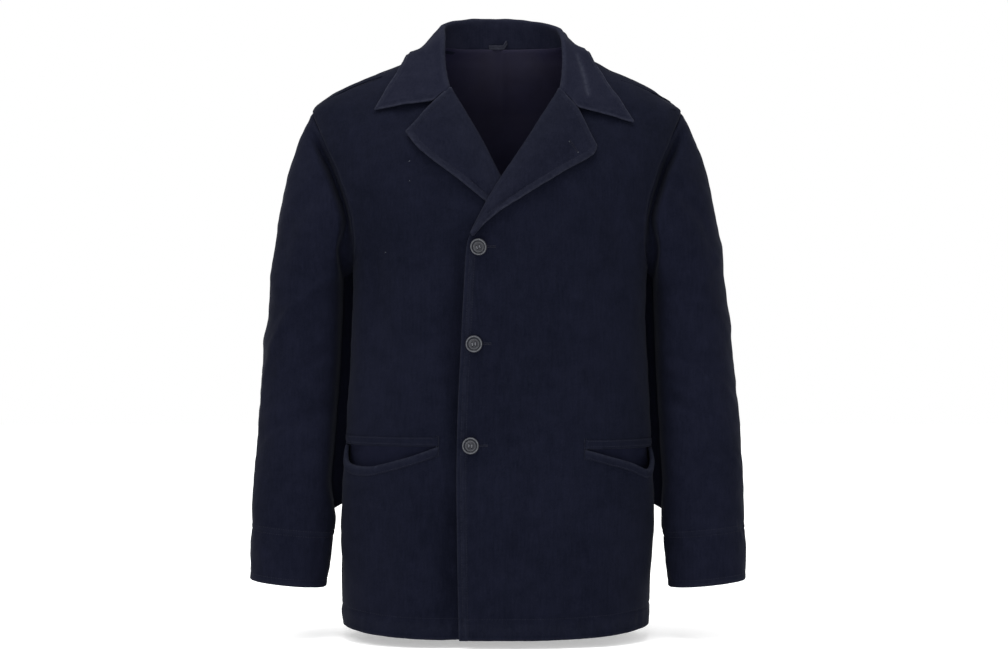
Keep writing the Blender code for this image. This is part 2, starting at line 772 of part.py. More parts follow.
def cap_point(side, turn, share):
    """Point of the sleeve head: share 0 is the armhole, 1 the first plain section."""
    low_z = SLEEVE[0].z
    start = armhole_ring_point(side, turn)
    stop = sleeve_ring_point(side, low_z, turn)
    leave = cap_leave(side, turn)
    below = sleeve_ring_point(side, low_z - 0.02, turn)
    arrive = (below - stop).normalized()
    start = start + leave * 2 * SEAM_GAP + Vector((side * 2 * SEAM_GAP, 0, 0))
    reach = (stop - start).length
    t = share
    return (
        start * (2 * t**3 - 3 * t**2 + 1)
        + leave * reach * CAP_FULLNESS * (t**3 - 2 * t**2 + t)
        + stop * (3 * t**2 - 2 * t**3)
        + arrive * reach * CAP_FULLNESS * (t**3 - t**2)
    )


def build_sleeve(side, name, collection):
    rows = sleeve_rows(side, SLEEVE_COLUMNS, SLEEVE_CAP_ROWS)
    if side == LEFT:
        rows = [list(reversed(row)) for row in rows]
    material = cloth_material(name + "_cloth", 1.05)
    return add_sheet(name, rows, SHELL, material, collection, ring=True)


# --- collar ------------------------------------------------------------------------------


def collar_back_station(side, station):
    """Neck seam, fold and outer edge of the collar behind the shoulder."""
    neck_angle = side * math.radians(station.around)
    edge_angle = side * math.radians(station.edge_around)
    neck = polar_point(SEAM_GAP, neck_angle)
    tilt = math.sin(neck_angle) ** 2
    fold = polar_point(station.stand - COLLAR_TILT[side] * tilt, neck_angle)
    edge = polar_point(station.edge_z + COLLAR_EDGE_TUCK[side] * tilt, edge_angle)
    return neck, fold, edge


def collar_front_station(side, share):
    """Neck seam, fold and outer edge in front of the shoulder; share 1 is the gorge."""
    stop = GORGE_START[side]
    z = COLLAR_START_Z + (stop.z - COLLAR_START_Z) * share
    x = curve_value(FRONT_EDGE[side], z, "z", "x")
    neck = front_point(x - side * (0.0019 + 0.0017 * (1 - share)), z)
    keep = 1 - share
    rise = (COLLAR_SIDE_RISE - COLLAR_TILT[side]) * keep**1.2
    shift = Vector((-side * (0.0045 * keep + 0.0008), -0.0045 * share, rise))
    fold = neck + shift
    side_angle = side * math.radians(COLLAR_SIDE_ANGLE)
    side_edge = polar_point(COLLAR_SIDE_Z + COLLAR_EDGE_TUCK[side], side_angle)
    tip = front_point(LEAF_TIP[side].x, LEAF_TIP[side].z)
    line = [side_edge, side_edge.lerp(tip, 0.5), tip]
    spot = polyline_point(line, share**1.1)
    edge = front_point(spot.x, spot.z) if share > 0.05 else side_edge
    return neck, fold, edge


def collar_profile(side, neck, fold, edge, share, fall_points):
    """Points across the collar: up the stand, round the fold and down the fall."""
    aside = fold - NECK_MIDDLE
    outward = Vector((aside.x, aside.y, 0)).normalized()
    round_off = COLLAR_ROLL
    points = [neck, neck.lerp(fold, 0.55)]
    points.append(fold - Vector((0, 0, round_off * 0.8)))
    points.append(fold + outward * round_off * 0.35 + Vector((0, 0, -round_off * 0.1)))
    crest = fold + outward * round_off * 1.7 + Vector((0, 0, -round_off * 0.3))
    shoulder = fold + outward * round_off * 2.5 + Vector((0, 0, -round_off * 1.4))
    points += [crest, shoulder]
    notch = flat(NOTCH[side])
    end_line = [flat(GORGE_START[side]), notch, flat(LEAF_TIP[side])]
    for k in range(1, fall_points + 1):
        t = k / fall_points
        point = shoulder.lerp(edge, t)
        if share is not None:
            spot = polyline_point(end_line, t)
            target = front_point(spot.x, spot.z + 0.0006, 0.0040)
            point = point.lerp(target, share**3)
        ridge = 1 - smooth_step(0.010, 0.050, abs(point.y))
        lift = COLLAR_LIFT + COLLAR_SWELL * math.sin(math.pi * t) + COLLAR_RIDGE_LIFT * ridge
        points.append(clear_of_form(point, lift))
    return points


def collar_rows(front_stations, fall_points):
    """Stations of the collar from the wearer's right end to the left end."""
    halves = {}
    for side in (RIGHT, LEFT):
        half = []
        for station in COLLAR:
            neck, fold, edge = collar_back_station(side, station)
            half.append(collar_profile(side, neck, fold, edge, None, fall_points))
        for k in range(1, front_stations + 1):
            share = COLLAR_STOP * k / front_stations
            neck, fold, edge = collar_front_station(side, share)
            half.append(collar_profile(side, neck, fold, edge, share, fall_points))
        halves[side] = half
    return list(reversed(halves[RIGHT])) + halves[LEFT][1:]


def build_collar(collection):
    rows = collar_rows(FRONT_STATIONS, 4)
    material = cloth_material("collar_cloth", 1.45)
    item = add_sheet("collar", rows, COLLAR_WALL, material, collection, inward=False)
    item.modifiers["wall"].offset = 0.0


# --- small parts -------------------------------------------------------------------------


def build_hanger_loop(collection):
    """Strip at the back neck seam, bowed off the collar stand."""
    back_depth = body_section(0.0).back
    clearance = COLLAR_WALL / 2 + TRIM_WALL + SEAM_GAP
    rows = []
    for z in (LOOP_Z, LOOP_Z + LOOP_WIDTH):
        line = []
        for k in range(LOOP_COLUMNS + 1):
            t = k / LOOP_COLUMNS
            bow = LOOP_BOW * math.sin(math.pi * t)
            x = LOOP_HALF_LENGTH * (2 * t - 1) - NECK_MIDDLE.x
            seat = polar_point(z, math.atan2(x, -back_depth))
            line.append(seat - Vector((0, clearance + bow, 0)))
        rows.append(line)
    material = cloth_material("hanger_loop_cloth", 1.6)
    add_sheet("hanger_loop", rows, TRIM_WALL, material, collection)


def button_profile():
    """Half outline of a button: raised rim, groove and sunken middle."""
    r, t = BUTTON_RADIUS, BUTTON_THICK
    return (
        (0.0, 0.0), (r * 0.80, 0.0), (r, t * 0.35), (r, t * 0.70), (r * 0.90, t),
        (r * 0.74, t * 0.92), (r * 0.66, t * 0.62), (r * 0.48, t * 0.74), (0.0, t * 0.68),
    )


def build_button(index, place, collection):
    bm = bmesh.new()
    profile = [bm.verts.new((x, 0, z)) for x, z in button_profile()]
    edges = [bm.edges.new(pair) for pair in zip(profile, profile[1:])]
    bmesh.ops.spin(
        bm, geom=profile + edges, axis=(0, 0, 1), cent=(0, 0, 0),
        angle=2 * math.pi, steps=BUTTON_SEGMENTS, use_merge=True,
    )
    bmesh.ops.remove_doubles(bm, verts=bm.verts, dist=0.00005)
    bmesh.ops.recalc_face_normals(bm, faces=bm.faces)
    name = "button_%d" % index
    mesh = bpy.data.meshes.new(name)
    bm.to_mesh(mesh)
    bm.free()
    item = bpy.data.objects.new(name, mesh)
    mesh.materials.append(make_material(name + "_plastic", (0.045, 0.048, 0.055), 0.45))
    seat = front_point(place.x, place.z)
    normal, _ = form_normal(seat)
    item.matrix_world = Matrix.Translation(seat + normal * 2 * SEAM_GAP) @ (
        normal.to_track_quat("Z", "Y").to_matrix().to_4x4()
    )
    collection.objects.link(item)


# --- whole coat --------------------------------------------------------------------------


def main():
    for item in list(bpy.data.objects):
        bpy.data.objects.remove(item, do_unlink=True)
    collection = bpy.data.collections.new("overcoat")
    bpy.context.scene.collection.children.link(collection)
    build_front(LEFT, "front_left", collection)
    build_front(RIGHT, "front_right", collection)
    build_back(collection)
    build_back_lining(collection)
    for side, word in ((LEFT, "left"), (RIGHT, "right")):
        build_sleeve(side, "sleeve_" + word, collection)
        build_lapel(side, "lapel_" + word, collection)
        build_pocket(side, word, collection)
    build_collar(collection)
    build_hanger_loop(collection)
    for index, place in enumerate(BUTTONS, 1):
        build_button(index, place, collection)


main()
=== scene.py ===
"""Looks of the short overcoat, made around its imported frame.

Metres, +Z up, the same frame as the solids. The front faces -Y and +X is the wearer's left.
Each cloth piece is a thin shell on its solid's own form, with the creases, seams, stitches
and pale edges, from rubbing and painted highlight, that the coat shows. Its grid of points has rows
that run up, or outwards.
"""

import math
from collections import namedtuple

import bpy
import numpy as np
from mathutils import Matrix, Vector


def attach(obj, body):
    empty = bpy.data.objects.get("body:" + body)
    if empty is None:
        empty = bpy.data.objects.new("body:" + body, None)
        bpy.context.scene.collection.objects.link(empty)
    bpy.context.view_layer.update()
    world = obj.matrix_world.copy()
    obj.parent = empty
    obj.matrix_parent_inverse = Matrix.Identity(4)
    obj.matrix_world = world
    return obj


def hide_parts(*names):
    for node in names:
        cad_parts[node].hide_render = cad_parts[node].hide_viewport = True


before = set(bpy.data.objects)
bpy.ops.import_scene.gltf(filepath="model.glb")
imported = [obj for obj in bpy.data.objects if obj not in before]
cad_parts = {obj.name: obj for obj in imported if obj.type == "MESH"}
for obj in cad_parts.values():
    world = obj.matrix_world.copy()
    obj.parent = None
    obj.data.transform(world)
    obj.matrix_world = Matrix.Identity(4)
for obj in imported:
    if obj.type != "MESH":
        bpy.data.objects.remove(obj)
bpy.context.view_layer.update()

RIGHT = -1
LEFT = 1
WORDS = {LEFT: "left", RIGHT: "right"}
BOTH = (LEFT, RIGHT)

# --- the coat's sizes, as its solids have them ---------------------------------------------


def table(kind, *rows):
    """Rows of plain numbers as rows with named columns."""
    return tuple(kind(*row) for row in rows)


HEM_Z = -0.810
ARMPIT_Z = -0.310
SHOULDER_Z = -0.0914
BREAK_Z = -0.2730
NECK_Z = -0.0015
SHELL = 0.0020
LAPEL_WALL = 0.0024
COLLAR_WALL = 0.0022
LINING_WALL = 0.0010
TRIM_WALL = 0.0012
SEAM_GAP = 0.0003
ARMHOLE_MIDDLE = (SHOULDER_Z + ARMPIT_Z) / 2
ARMHOLE_REACH = (SHOULDER_Z - ARMPIT_Z) / 2
ARMHOLE_FRONT = 0.096
ARMHOLE_BACK = 0.104
ARMHOLE_TAPER = 0.50
HEM_TURN = 0.028
HEM_RISE = 0.009
CUFF_TURN = 0.068
CUFF_Z = -0.7440
CUFF_SLOPE = 0.0055
POCKET_WELT = 0.010
POCKET_BAND = 0.011
POCKET_GAPE = 0.011
POCKET_BAG_SWELL = 0.014
POCKET_BAG_CLEARANCE = 0.0018
SLIT_GAP = 0.0025
LINING_DROP = 0.0044
LINING_INSET = 0.05

Section = namedtuple("Section", "z centre half_width front back power")
BODY = table(
    Section,
    (-0.81, -0.0045, 0.2125, 0.136, 0.118, 2.6),
    (-0.755, -0.004, 0.214, 0.136, 0.117, 2.6),
    (-0.64, -0.002, 0.2165, 0.136, 0.116, 2.6),
    (-0.55, -0.0005, 0.212, 0.135, 0.114, 2.6),
    (-0.41, 0.001, 0.2045, 0.133, 0.113, 2.6),
    (-0.31, 0.001, 0.2035, 0.132, 0.115, 2.6),
    (-0.25, 0.0, 0.2205, 0.13, 0.116, 2.7),
    (-0.2, -0.001, 0.232, 0.124, 0.113, 2.8),
    (-0.165, -0.002, 0.239, 0.115, 0.108, 2.9),
    (-0.136, -0.0025, 0.248, 0.103, 0.101, 2.9),
    (-0.0914, -0.003, 0.2565, 0.08, 0.088, 2.5),
    (-0.0691, -0.0035, 0.229, 0.067, 0.079, 2.35),
    (-0.0524, -0.003, 0.197, 0.0575, 0.0725, 2.25),
    (-0.0356, -0.001, 0.161, 0.048, 0.066, 2.15),
    (-0.0176, 0.003, 0.123, 0.038, 0.06, 2.1),
    (0.0, 0.005, 0.0895, 0.03, 0.0545, 2.0),
    (0.025, 0.0025, 0.0805, 0.027, 0.053, 2.0),
    (0.05, 0.0015, 0.0735, 0.025, 0.0515, 2.0),
)

SleeveSection = namedtuple("SleeveSection", "z outer inner depth bend")
SLEEVE = table(
    SleeveSection,
    (-0.345, 0.3175, 0.205, 0.069, 0.006),
    (-0.4207, 0.326, 0.2062, 0.066, 0.006),
    (-0.4877, 0.3325, 0.2096, 0.063, 0.004),
    (-0.5547, 0.3377, 0.214, 0.06, 0.0),
    (-0.6217, 0.3415, 0.2225, 0.056, -0.006),
    (-0.683, 0.3425, 0.23, 0.0525, -0.013),
    (-0.747, 0.343, 0.237, 0.049, -0.021),
)
SLEEVE_POWER = 2.15
SLEEVE_OUTSET = {RIGHT: 0.0025, LEFT: -0.0015}
CAP_FULLNESS = 0.95
SLEEVE_CLEARANCE = 0.0016

EdgePoint = namedtuple("EdgePoint", "z x")
FRONT_EDGE = {
    LEFT: table(
        EdgePoint,
        (-0.81, -0.0523), (-0.716, -0.0543), (-0.556, -0.0556), (-0.41, -0.0497),
        (-0.333, -0.0456), (-0.289, -0.043), (-0.273, -0.0396), (-0.2388, -0.021),
        (-0.2031, 0.0003), (-0.1526, 0.0339), (-0.1084, 0.0612), (-0.0682, 0.085), (-0.04, 0.093),
        (-0.015, 0.0955), (0.0, 0.095),
    ),
    RIGHT: table(
        EdgePoint,
        (-0.81, 0.058), (-0.716, 0.059), (-0.556, 0.059), (-0.41, 0.056), (-0.333, 0.053),
        (-0.289, 0.05), (-0.273, 0.044), (-0.2388, 0.0245), (-0.1941, 0.0003), (-0.1414, -0.0267),
        (-0.1003, -0.0499), (-0.0668, -0.0688), (-0.04, -0.079), (-0.015, -0.083), (0.0, -0.0835),
    ),
}

OutlinePoint = namedtuple("OutlinePoint", "x z")
LAPEL_EDGE = {
    LEFT: table(
        OutlinePoint,
        (-0.0396, -0.274), (-0.005, -0.2415), (0.0337, -0.216), (0.0874, -0.183), (0.125, -0.161),
        (0.1311, -0.149),
    ),
    RIGHT: table(
        OutlinePoint,
        (0.044, -0.274), (0.013, -0.247), (-0.0157, -0.2239), (-0.0599, -0.1887),
        (-0.105, -0.1545), (-0.1256, -0.129),
    ),
}
LAPEL_START = {LEFT: 0.03, RIGHT: 0.10}
LAPEL_STOP = 0.990
GORGE_START = {LEFT: OutlinePoint(0.0850, -0.0682), RIGHT: OutlinePoint(-0.0688, -0.0668)}
NOTCH = {LEFT: OutlinePoint(0.1068, -0.0977), RIGHT: OutlinePoint(-0.0881, -0.0876)}
LEAF_TIP = {LEFT: OutlinePoint(0.1820, -0.1155), RIGHT: OutlinePoint(-0.1680, -0.0977)}

CollarStation = namedtuple("CollarStation", "around stand edge_around edge_z")
COLLAR = table(
    CollarStation,
    (180.0, 0.046, 180.0, -0.026),
    (158.0, 0.0455, 160.0, -0.027),
    (136.0, 0.044, 141.0, -0.0275),
    (118.0, 0.0405, 120.0, -0.024),
    (104.0, 0.035, 104.0, -0.022),
    (92.0, 0.029, 92.0, -0.0215),
)
COLLAR_TILT = {RIGHT: 0.0, LEFT: 0.0050}
COLLAR_EDGE_TUCK = {RIGHT: 0.0015, LEFT: 0.0070}
COLLAR_START_Z = -0.006
COLLAR_SIDE_ANGLE = 88.0
COLLAR_SIDE_Z = -0.0215
COLLAR_SIDE_RISE = 0.0235
COLLAR_ROLL = 0.0027
COLLAR_LIFT = 0.0042
COLLAR_SWELL = 0.0022
COLLAR_RIDGE_LIFT = 0.0035
COLLAR_STOP = 0.975
NECK_MIDDLE = (0.006, 0.012)

Lip = namedtuple("Lip", "at sag")
POCKET_LIP = {
    RIGHT: table(
        Lip,
        (0.0, 0.0), (0.19, 0.012), (0.37, 0.021), (0.55, 0.028), (0.8, 0.023), (1.0, 0.0),
    ),
    LEFT: table(
        Lip,
        (0.0, 0.0), (0.31, 0.012), (0.47, 0.018), (0.69, 0.029), (0.86, 0.017), (1.0, 0.0),
    ),
}
POCKET_Z = {RIGHT: -0.5510, LEFT: -0.5550}
POCKET_INNER_X = {RIGHT: -0.0814, LEFT: 0.1155}
# Share of the way from the pocket's inner end to the side seam where its outer end is.
POCKET_REACH = {RIGHT: 5 / 6, LEFT: 4 / 5}

ButtonPlace = namedtuple("ButtonPlace", "x z")
BUTTONS = table(
    ButtonPlace,
    (-0.0264, -0.285), (-0.0326, -0.4147), (-0.0373, -0.5508),
)
BUTTON_RADIUS = 0.0115
BUTTON_THICK = 0.0040
LOOP_HALF_LENGTH = 0.0135
LOOP_WIDTH = 0.0045
LOOP_BOW = 0.0065
LOOP_Z = 0.004

# --- interpolation, on arrays --------------------------------------------------------------


def hermite(t, start, leave, stop, arrive):
    """Cubic from a start to a stop value with their slopes, at shares t of the way."""
    return (
        start * (2 * t**3 - 3 * t**2 + 1)
        + leave * (t**3 - 2 * t**2 + t)
        + stop * (3 * t**2 - 2 * t**3)
        + arrive * (t**3 - t**2)
    )


def through(keys, values, at):
    """Smooth values at an array of keys, through rows of values at rising keys."""
    last = len(keys) - 1
    before = np.maximum(np.arange(last + 1) - 1, 0)
    after = np.minimum(np.arange(last + 1) + 1, last)
    at = np.clip(np.asarray(at, float), keys[0], keys[-1])
    spot = np.clip(np.searchsorted(keys, at, side="left") - 1, 0, last - 1)
    step, span = keys[spot + 1] - keys[spot], keys[after] - keys[before]
    t = (at - keys[spot]) / step
    if values.ndim > 1:
        t, step, span = t[:, None], step[:, None], span[:, None]
    slopes = (values[after] - values[before]) / span
    return hermite(t, values[spot], slopes[spot] * step, values[spot + 1], slopes[spot + 1] * step)


def curve(rows, at, key, column):
    """Smooth value of a named column at an array of keys, through the rows of a table."""
    keys = np.array([getattr(row, key) for row in rows])
    values = np.array([getattr(row, column) for row in rows])
    order = 1 if keys[0] < keys[-1] else -1
    return through(keys[::order], values[::order], at)


def smooth_step(low, high, value):
    t = np.clip((np.asarray(value, float) - low) / (high - low), 0.0, 1.0)
    return t * t * (3 - 2 * t)


def bell(value, width):
    return np.exp(-((value / width) ** 2))


def unit(vectors):
    return vectors / np.linalg.norm(vectors, axis=-1, keepdims=True)


def run_lengths(points, axis=0):
    """Distance gone at each point of the lines that run along an axis of an array."""
    steps = np.linalg.norm(np.diff(points, axis=axis), axis=-1)
    return np.insert(np.cumsum(steps, axis=axis), 0, 0.0, axis=axis)


def at_lengths(values, lengths, spots):
    """Values at spots along a line whose points have these lengths gone."""
    return np.stack([np.interp(spots, lengths, column) for column in values.T], -1)


def along(points, shares):
    """Points at shares of the length of a polyline."""
    points = np.asarray(points, float)
    lengths = run_lengths(points)
    return at_lengths(points, lengths, np.clip(shares, 0, 1) * lengths[-1])


def smoothed(points, count=60):
    """A polyline with rounded corners, through its points."""
    points = np.asarray(points, float)
    lengths = run_lengths(points)
    return through(lengths, points, np.linspace(0, lengths[-1], count))


def distance_to(x, z, line):
    """Distance of points in the plane of the front from a polyline, and the share along it."""
    best = np.full(np.shape(x), 1e9)
    share = np.zeros(np.shape(x))
    lengths = run_lengths(line)
    for (ax, az), (bx, bz), gone, step in zip(line, line[1:], lengths, np.diff(lengths)):
        t = np.clip(((x - ax) * (bx - ax) + (z - az) * (bz - az)) / step**2, 0, 1)
        d = np.hypot(x - ax - t * (bx - ax), z - az - t * (bz - az))
        share = np.where(d < best, (gone + t * step) / lengths[-1], share)
        best = np.minimum(best, d)
    return best, share


# --- body form -----------------------------------------------------------------------------

FORM_STEP = 0.0005
ARC_SAMPLES = 96


def body(z, name):
    return curve(BODY, z, "z", name)


def body_side(y, z):
    """Half width of the body form at depths y and heights z."""
    depth = np.where(y < 0, body(z, "front"), body(z, "back"))
    power = body(z, "power")
    share = np.minimum(np.abs(y) / depth, 1.0)
    return body(z, "half_width") * (1 - share**power) ** (1 / power)


def form_value(p):
    """Zero on the body form, minus inside it and plus outside."""
    x, y, z = np.moveaxis(p, -1, 0)
    power = body(z, "power")
    depth = np.where(y < 0, body(z, "front"), body(z, "back"))
    across = (np.abs(x - body(z, "centre")) / body(z, "half_width")) ** power
    return (across + (np.abs(y) / depth) ** power) ** (1 / power) - 1


def form_normal(p):
    """Outward unit normal of the body form at points, and how steep its value is there."""
    slope = np.stack([
        (form_value(p + shift) - form_value(p - shift)) / (2 * FORM_STEP)
        for shift in np.eye(3) * FORM_STEP
    ], -1)
    size = np.linalg.norm(slope, axis=-1, keepdims=True)
    return slope / size, size[..., 0]


def level_normal(p):
    """Outward unit direction of the body form at points, in the plane of their height."""
    return unit(form_normal(p)[0] * [1, 1, 0])


def clear_of_form(p, lift):
    """Points, pushed out where they lie nearer to the body form than the lift."""
    for _ in range(4):
        normal, slope = form_normal(p)
        short = np.maximum(lift - form_value(p) / slope, 0.0)
        p = p + normal * short[..., None]
    return p


def polar_point(z, angle):
    """Points of the body form at heights and at angles from the front, in radians."""
    z, angle = np.broadcast_arrays(np.asarray(z, float), np.asarray(angle, float))
    side, ahead = np.sin(angle), np.cos(angle)
    power = body(z, "power")
    depth = np.where(ahead > 0, body(z, "front"), body(z, "back"))
    across = (np.abs(side) / body(z, "half_width")) ** power
    radius = (across + (np.abs(ahead) / depth) ** power) ** (-1 / power)
    return np.stack([body(z, "centre") + radius * side, -radius * ahead, z], -1)


def front_angle(x, z):
    centre, power = body(z, "centre"), body(z, "power")
    share = np.minimum(np.abs(x - centre) / body(z, "half_width"), 0.9999)
    y = body(z, "front") * (1 - share**power) ** (1 / power)
    return np.arctan2(x - centre, y)


def front_point(x, z, lift=0.0):
    point = polar_point(z, front_angle(x, z))
    return point + form_normal(point)[0] * np.asarray(lift, float)[..., None]


def armhole_angle(z, side, front):
    """Polar angle at which a panel ends: armhole, side seam or shoulder seam."""
    up = np.clip((z - ARMHOLE_MIDDLE) / ARMHOLE_REACH, -1, 1)
    widest = ARMHOLE_FRONT if front else ARMHOLE_BACK
    y = widest * np.sqrt(1 - up * up) * (1 - ARMHOLE_TAPER * (1 + up) / 2)
    power = body(z, "power")
    share = np.minimum(y / body(z, "front" if front else "back"), 0.999)
    x = body(z, "half_width") * (1 - share**power) ** (1 / power)
    return side * np.arctan2(x, y if front else -y)


def arc_angles(z, start, stop, shares):
    """Angles at shares of the arc between two angles, a row for each height."""
    t = np.linspace(0, 1, ARC_SAMPLES + 1)
    angles = start[:, None] + (stop - start)[:, None] * t
    lengths = run_lengths(polar_point(z[:, None], angles), axis=1)
    rows = [
        np.interp(share * length[-1], length, angle)
        for share, length, angle in zip(shares, lengths, angles)
    ]
    return np.array(rows), lengths[:, -1]


def panel(z, start, cut, whole, shares):
    """Grid of a panel: its rows run from a start angle and are squeezed at the armhole."""
    full = np.broadcast_to(shares, (len(z), len(shares)))
    _, kept = arc_angles(z, start, cut, full)
    _, wide = arc_angles(z, start, whole, full)
    squeeze = 1 - np.minimum(kept / wide, 1.0)
    angles, _ = arc_angles(z, start, whole, full - squeeze[:, None] * full**3)
    return polar_point(z[:, None], angles)


def hem_lift(p):
    """Rise of the hem towards the sides, fading above it."""
    x, z = p[..., 0], p[..., 2]
    share = np.clip(np.abs(x - body(z, "centre")) / body(z, "half_width"), 0, 1)
    fade = 1 - smooth_step(HEM_Z + HEM_TURN * 0.6, HEM_Z + HEM_TURN * 2.4, z)
    return HEM_RISE * share**3 * fade


def closed(grid):
    return np.concatenate([grid, grid[:, :1]], axis=1)


def grid_normals(p, ring=False):
    """Outward unit normals of a grid of points whose rows run up."""
    if ring:
        across = np.roll(p, -1, axis=1) - np.roll(p, 1, axis=1)
    else:
        across = np.gradient(p, axis=1)
    normal = np.cross(across, np.gradient(p, axis=0))
    return normal / np.maximum(np.linalg.norm(normal, axis=-1, keepdims=True), 1e-12)


def mesh_rows(limits, counts):
    """Heights between limits, each run with its own count of rows."""
    runs = [np.linspace(a, b, n, endpoint=False) for a, b, n in zip(limits, limits[1:], counts)]
    return np.concatenate([*runs, [limits[-1]]])


def armhole_rows(count):
    """Heights from the armpit to the shoulder, closer together at both ends."""
    return ARMHOLE_MIDDLE - ARMHOLE_REACH * np.cos(np.pi * np.arange(count + 1) / count)

# --- uneven cloth --------------------------------------------------------------------------

Fold = namedtuple("Fold", "line width depth")
Ridge = namedtuple("Ridge", "height at width")


def waves(a, b, size, seed, count=7, spread=0.6):
    """Uneven swell between about -1 and 1: plane waves of about one size, in metres."""
    rng = np.random.default_rng(seed)
    total = np.zeros(np.broadcast(a, b).shape)
    for _ in range(count):
        angle = rng.uniform(0, 2 * np.pi)
        length = size * (1 + spread * rng.uniform(-1, 1))
        phase = rng.uniform(0, 2 * np.pi)
        total += np.sin(2 * np.pi * (a * np.cos(angle) + b * np.sin(angle)) / length + phase)
    return total / math.sqrt(count) * 0.75


def folded(x, z, folds):
    """Height of a set of soft folds at points of the front or back plane; troughs are minus."""
    total = np.zeros(np.shape(x))
    for fold in folds:
        d, share = distance_to(x, z, smoothed(fold.line, 24))
        strength = np.sin(np.pi * np.clip(share * 0.9 + 0.05, 0, 1)) ** 0.7
        total += fold.depth * bell(d, fold.width) * strength
    return total


def ridges(distance, rows):
    """Sum of soft ridges along an edge, by their height, distance in and width."""
    return sum(height * bell(distance - at, width) for height, at, width in rows)


# --- meshes --------------------------------------------------------------------------------


def linked(name, data):
    item = bpy.data.objects.new(name, data)
    bpy.context.scene.collection.objects.link(item)
    return item


def mesh_piece(name, points, faces):
    """Smooth-shaded object from arrays of points and of faces with equal corner counts."""
    mesh = bpy.data.meshes.new(name)
    points = np.asarray(points, np.float32)
    faces = np.asarray(faces, np.int32)
    count, corners = faces.shape
    mesh.vertices.add(len(points))
    mesh.vertices.foreach_set("co", points.ravel())
    mesh.loops.add(count * corners)
    mesh.loops.foreach_set("vertex_index", faces.ravel())
    mesh.polygons.add(count)
    mesh.polygons.foreach_set("loop_start", np.arange(count, dtype=np.int32) * corners)
    mesh.polygons.foreach_set("use_smooth", np.ones(count, bool))
    mesh.update(calc_edges=True)
    mesh.validate()
    return linked(name, mesh)


def joined(name, parts):
    """One object from several pairs of points and faces."""
    starts = np.cumsum([0] + [len(points) for points, _ in parts])
    faces = [part + start for (_, part), start in zip(parts, starts)]
    return mesh_piece(name, np.concatenate([points for points, _ in parts]), np.concatenate(faces))


def add_worn(mesh, worn):
    """How pale the surface is at each point, from rubbing and painted highlight, for the materials."""
    attribute = mesh.attributes.new("worn", "FLOAT", "POINT")
    attribute.data.foreach_set("value", worn.astype(np.float32))


def quads_of(rows, columns, ring=False, skip=None):
    """Faces between the points of a grid; in a ring its last column meets its first."""
    counts = np.arange(rows - 1), np.arange(columns if ring else columns - 1)
    i, j = np.meshgrid(*counts, indexing="ij")
    kept = np.ones(i.shape, bool) if skip is None else ~skip
    low, high = i[kept] * columns, (i[kept] + 1) * columns
    j = j[kept]
    k = (j + 1) % columns
    return np.stack([low + j, low + k, high + k, high + j], -1)


def shell(name, grid, wall, inward=True, ring=False, skip=None, worn=None, round_rim=0.45):
    """Closed cloth wall from a grid of points, with a rounded rim.

    inward: the grid is the outer face; otherwise it is the inner one. skip: faces of the
    grid that are left open."""
    normals = grid_normals(grid, ring)
    rows, columns = grid.shape[:2]
    size = rows * columns
    outer, inner = (grid, grid - normals * wall) if inward else (grid + normals * wall, grid)
    outer, inner, flat = (part.reshape(-1, 3) for part in (outer, inner, normals))
    quads = quads_of(rows, columns, ring, skip)
    edges = np.concatenate([quads[:, [k, (k + 1) % 4]] for k in range(4)])
    rim = edges[~np.isin(edges @ [size, 1], edges @ [1, size])]
    a, b = rim.T
    aside = np.cross(outer[b] - outer[a], flat[a])
    push = np.zeros((size, 3))
    np.add.at(push, a, aside)
    np.add.at(push, b, aside)
    push /= np.maximum(np.linalg.norm(push, axis=1, keepdims=True), 1e-12)
    points = np.concatenate([outer, inner, (outer + inner) / 2 + push * wall * round_rim])
    faces = np.concatenate([
        quads,
        quads[:, ::-1] + size,
        np.stack([b, a, a + 2 * size, b + 2 * size], -1),
        np.stack([b + 2 * size, a + 2 * size, a + size, b + size], -1),
    ])
    used = np.zeros(3 * size, bool)
    used[faces.ravel()] = True
    piece = mesh_piece(name, points[used], (np.cumsum(used) - 1)[faces])
    if worn is not None:
        add_worn(piece.data, np.tile(np.broadcast_to(worn, (rows, columns)).ravel(), 3)[used])
    return piece


def trim(piece, slot, material, *nodes):
    """Material and body of a piece; the nodes that it stands for are hidden. The slot is not used."""
    piece.data.materials.append(material)
    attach(piece, "root")
    if nodes:
        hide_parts(*nodes)


def cloth(node, grid, wall, slot, material, held, rests_on, ring=False, name=None, **form):
    """Cloth piece that stands for a node: its shell, its looks and the cut that shows."""
    piece = shell((name or node) + "_cloth", grid, wall, ring=ring, **form)
    trim(piece, slot, material, node)


def displaced(grid, height, ring=False):
    return grid + grid_normals(grid, ring) * height[..., None]


def outer_of(grid, wall):
    """Outer face of a shell whose grid is its inner one."""
    return grid + grid_normals(grid) * wall


def sampled(grid, i, j):
    """Points and unit normals of a grid at fractional rows and columns."""
    i = np.clip(i, 0, grid.shape[0] - 1.000001)
    j = np.clip(j, 0, grid.shape[1] - 1.000001)
    a, b = i.astype(int), j.astype(int)
    s, t = (i - a)[:, None], (j - b)[:, None]
    found = []
    for values in (grid, grid_normals(grid)):
        low = values[a, b] * (1 - t) + values[a, b + 1] * t
        high = values[a + 1, b] * (1 - t) + values[a + 1, b + 1] * t
        found.append(low * (1 - s) + high * s)
    return found[0], unit(found[1])


def edge_distance(grid, from_end=False):
    """Distance of each grid point from its row's start or end."""
    order = -1 if from_end else 1
    return run_lengths(grid[:, ::order], axis=1)[:, ::order]


def end_distance(grid, from_end=False):
    """Distance of each grid point from its column's start or end."""
    return edge_distance(np.swapaxes(grid, 0, 1), from_end).T


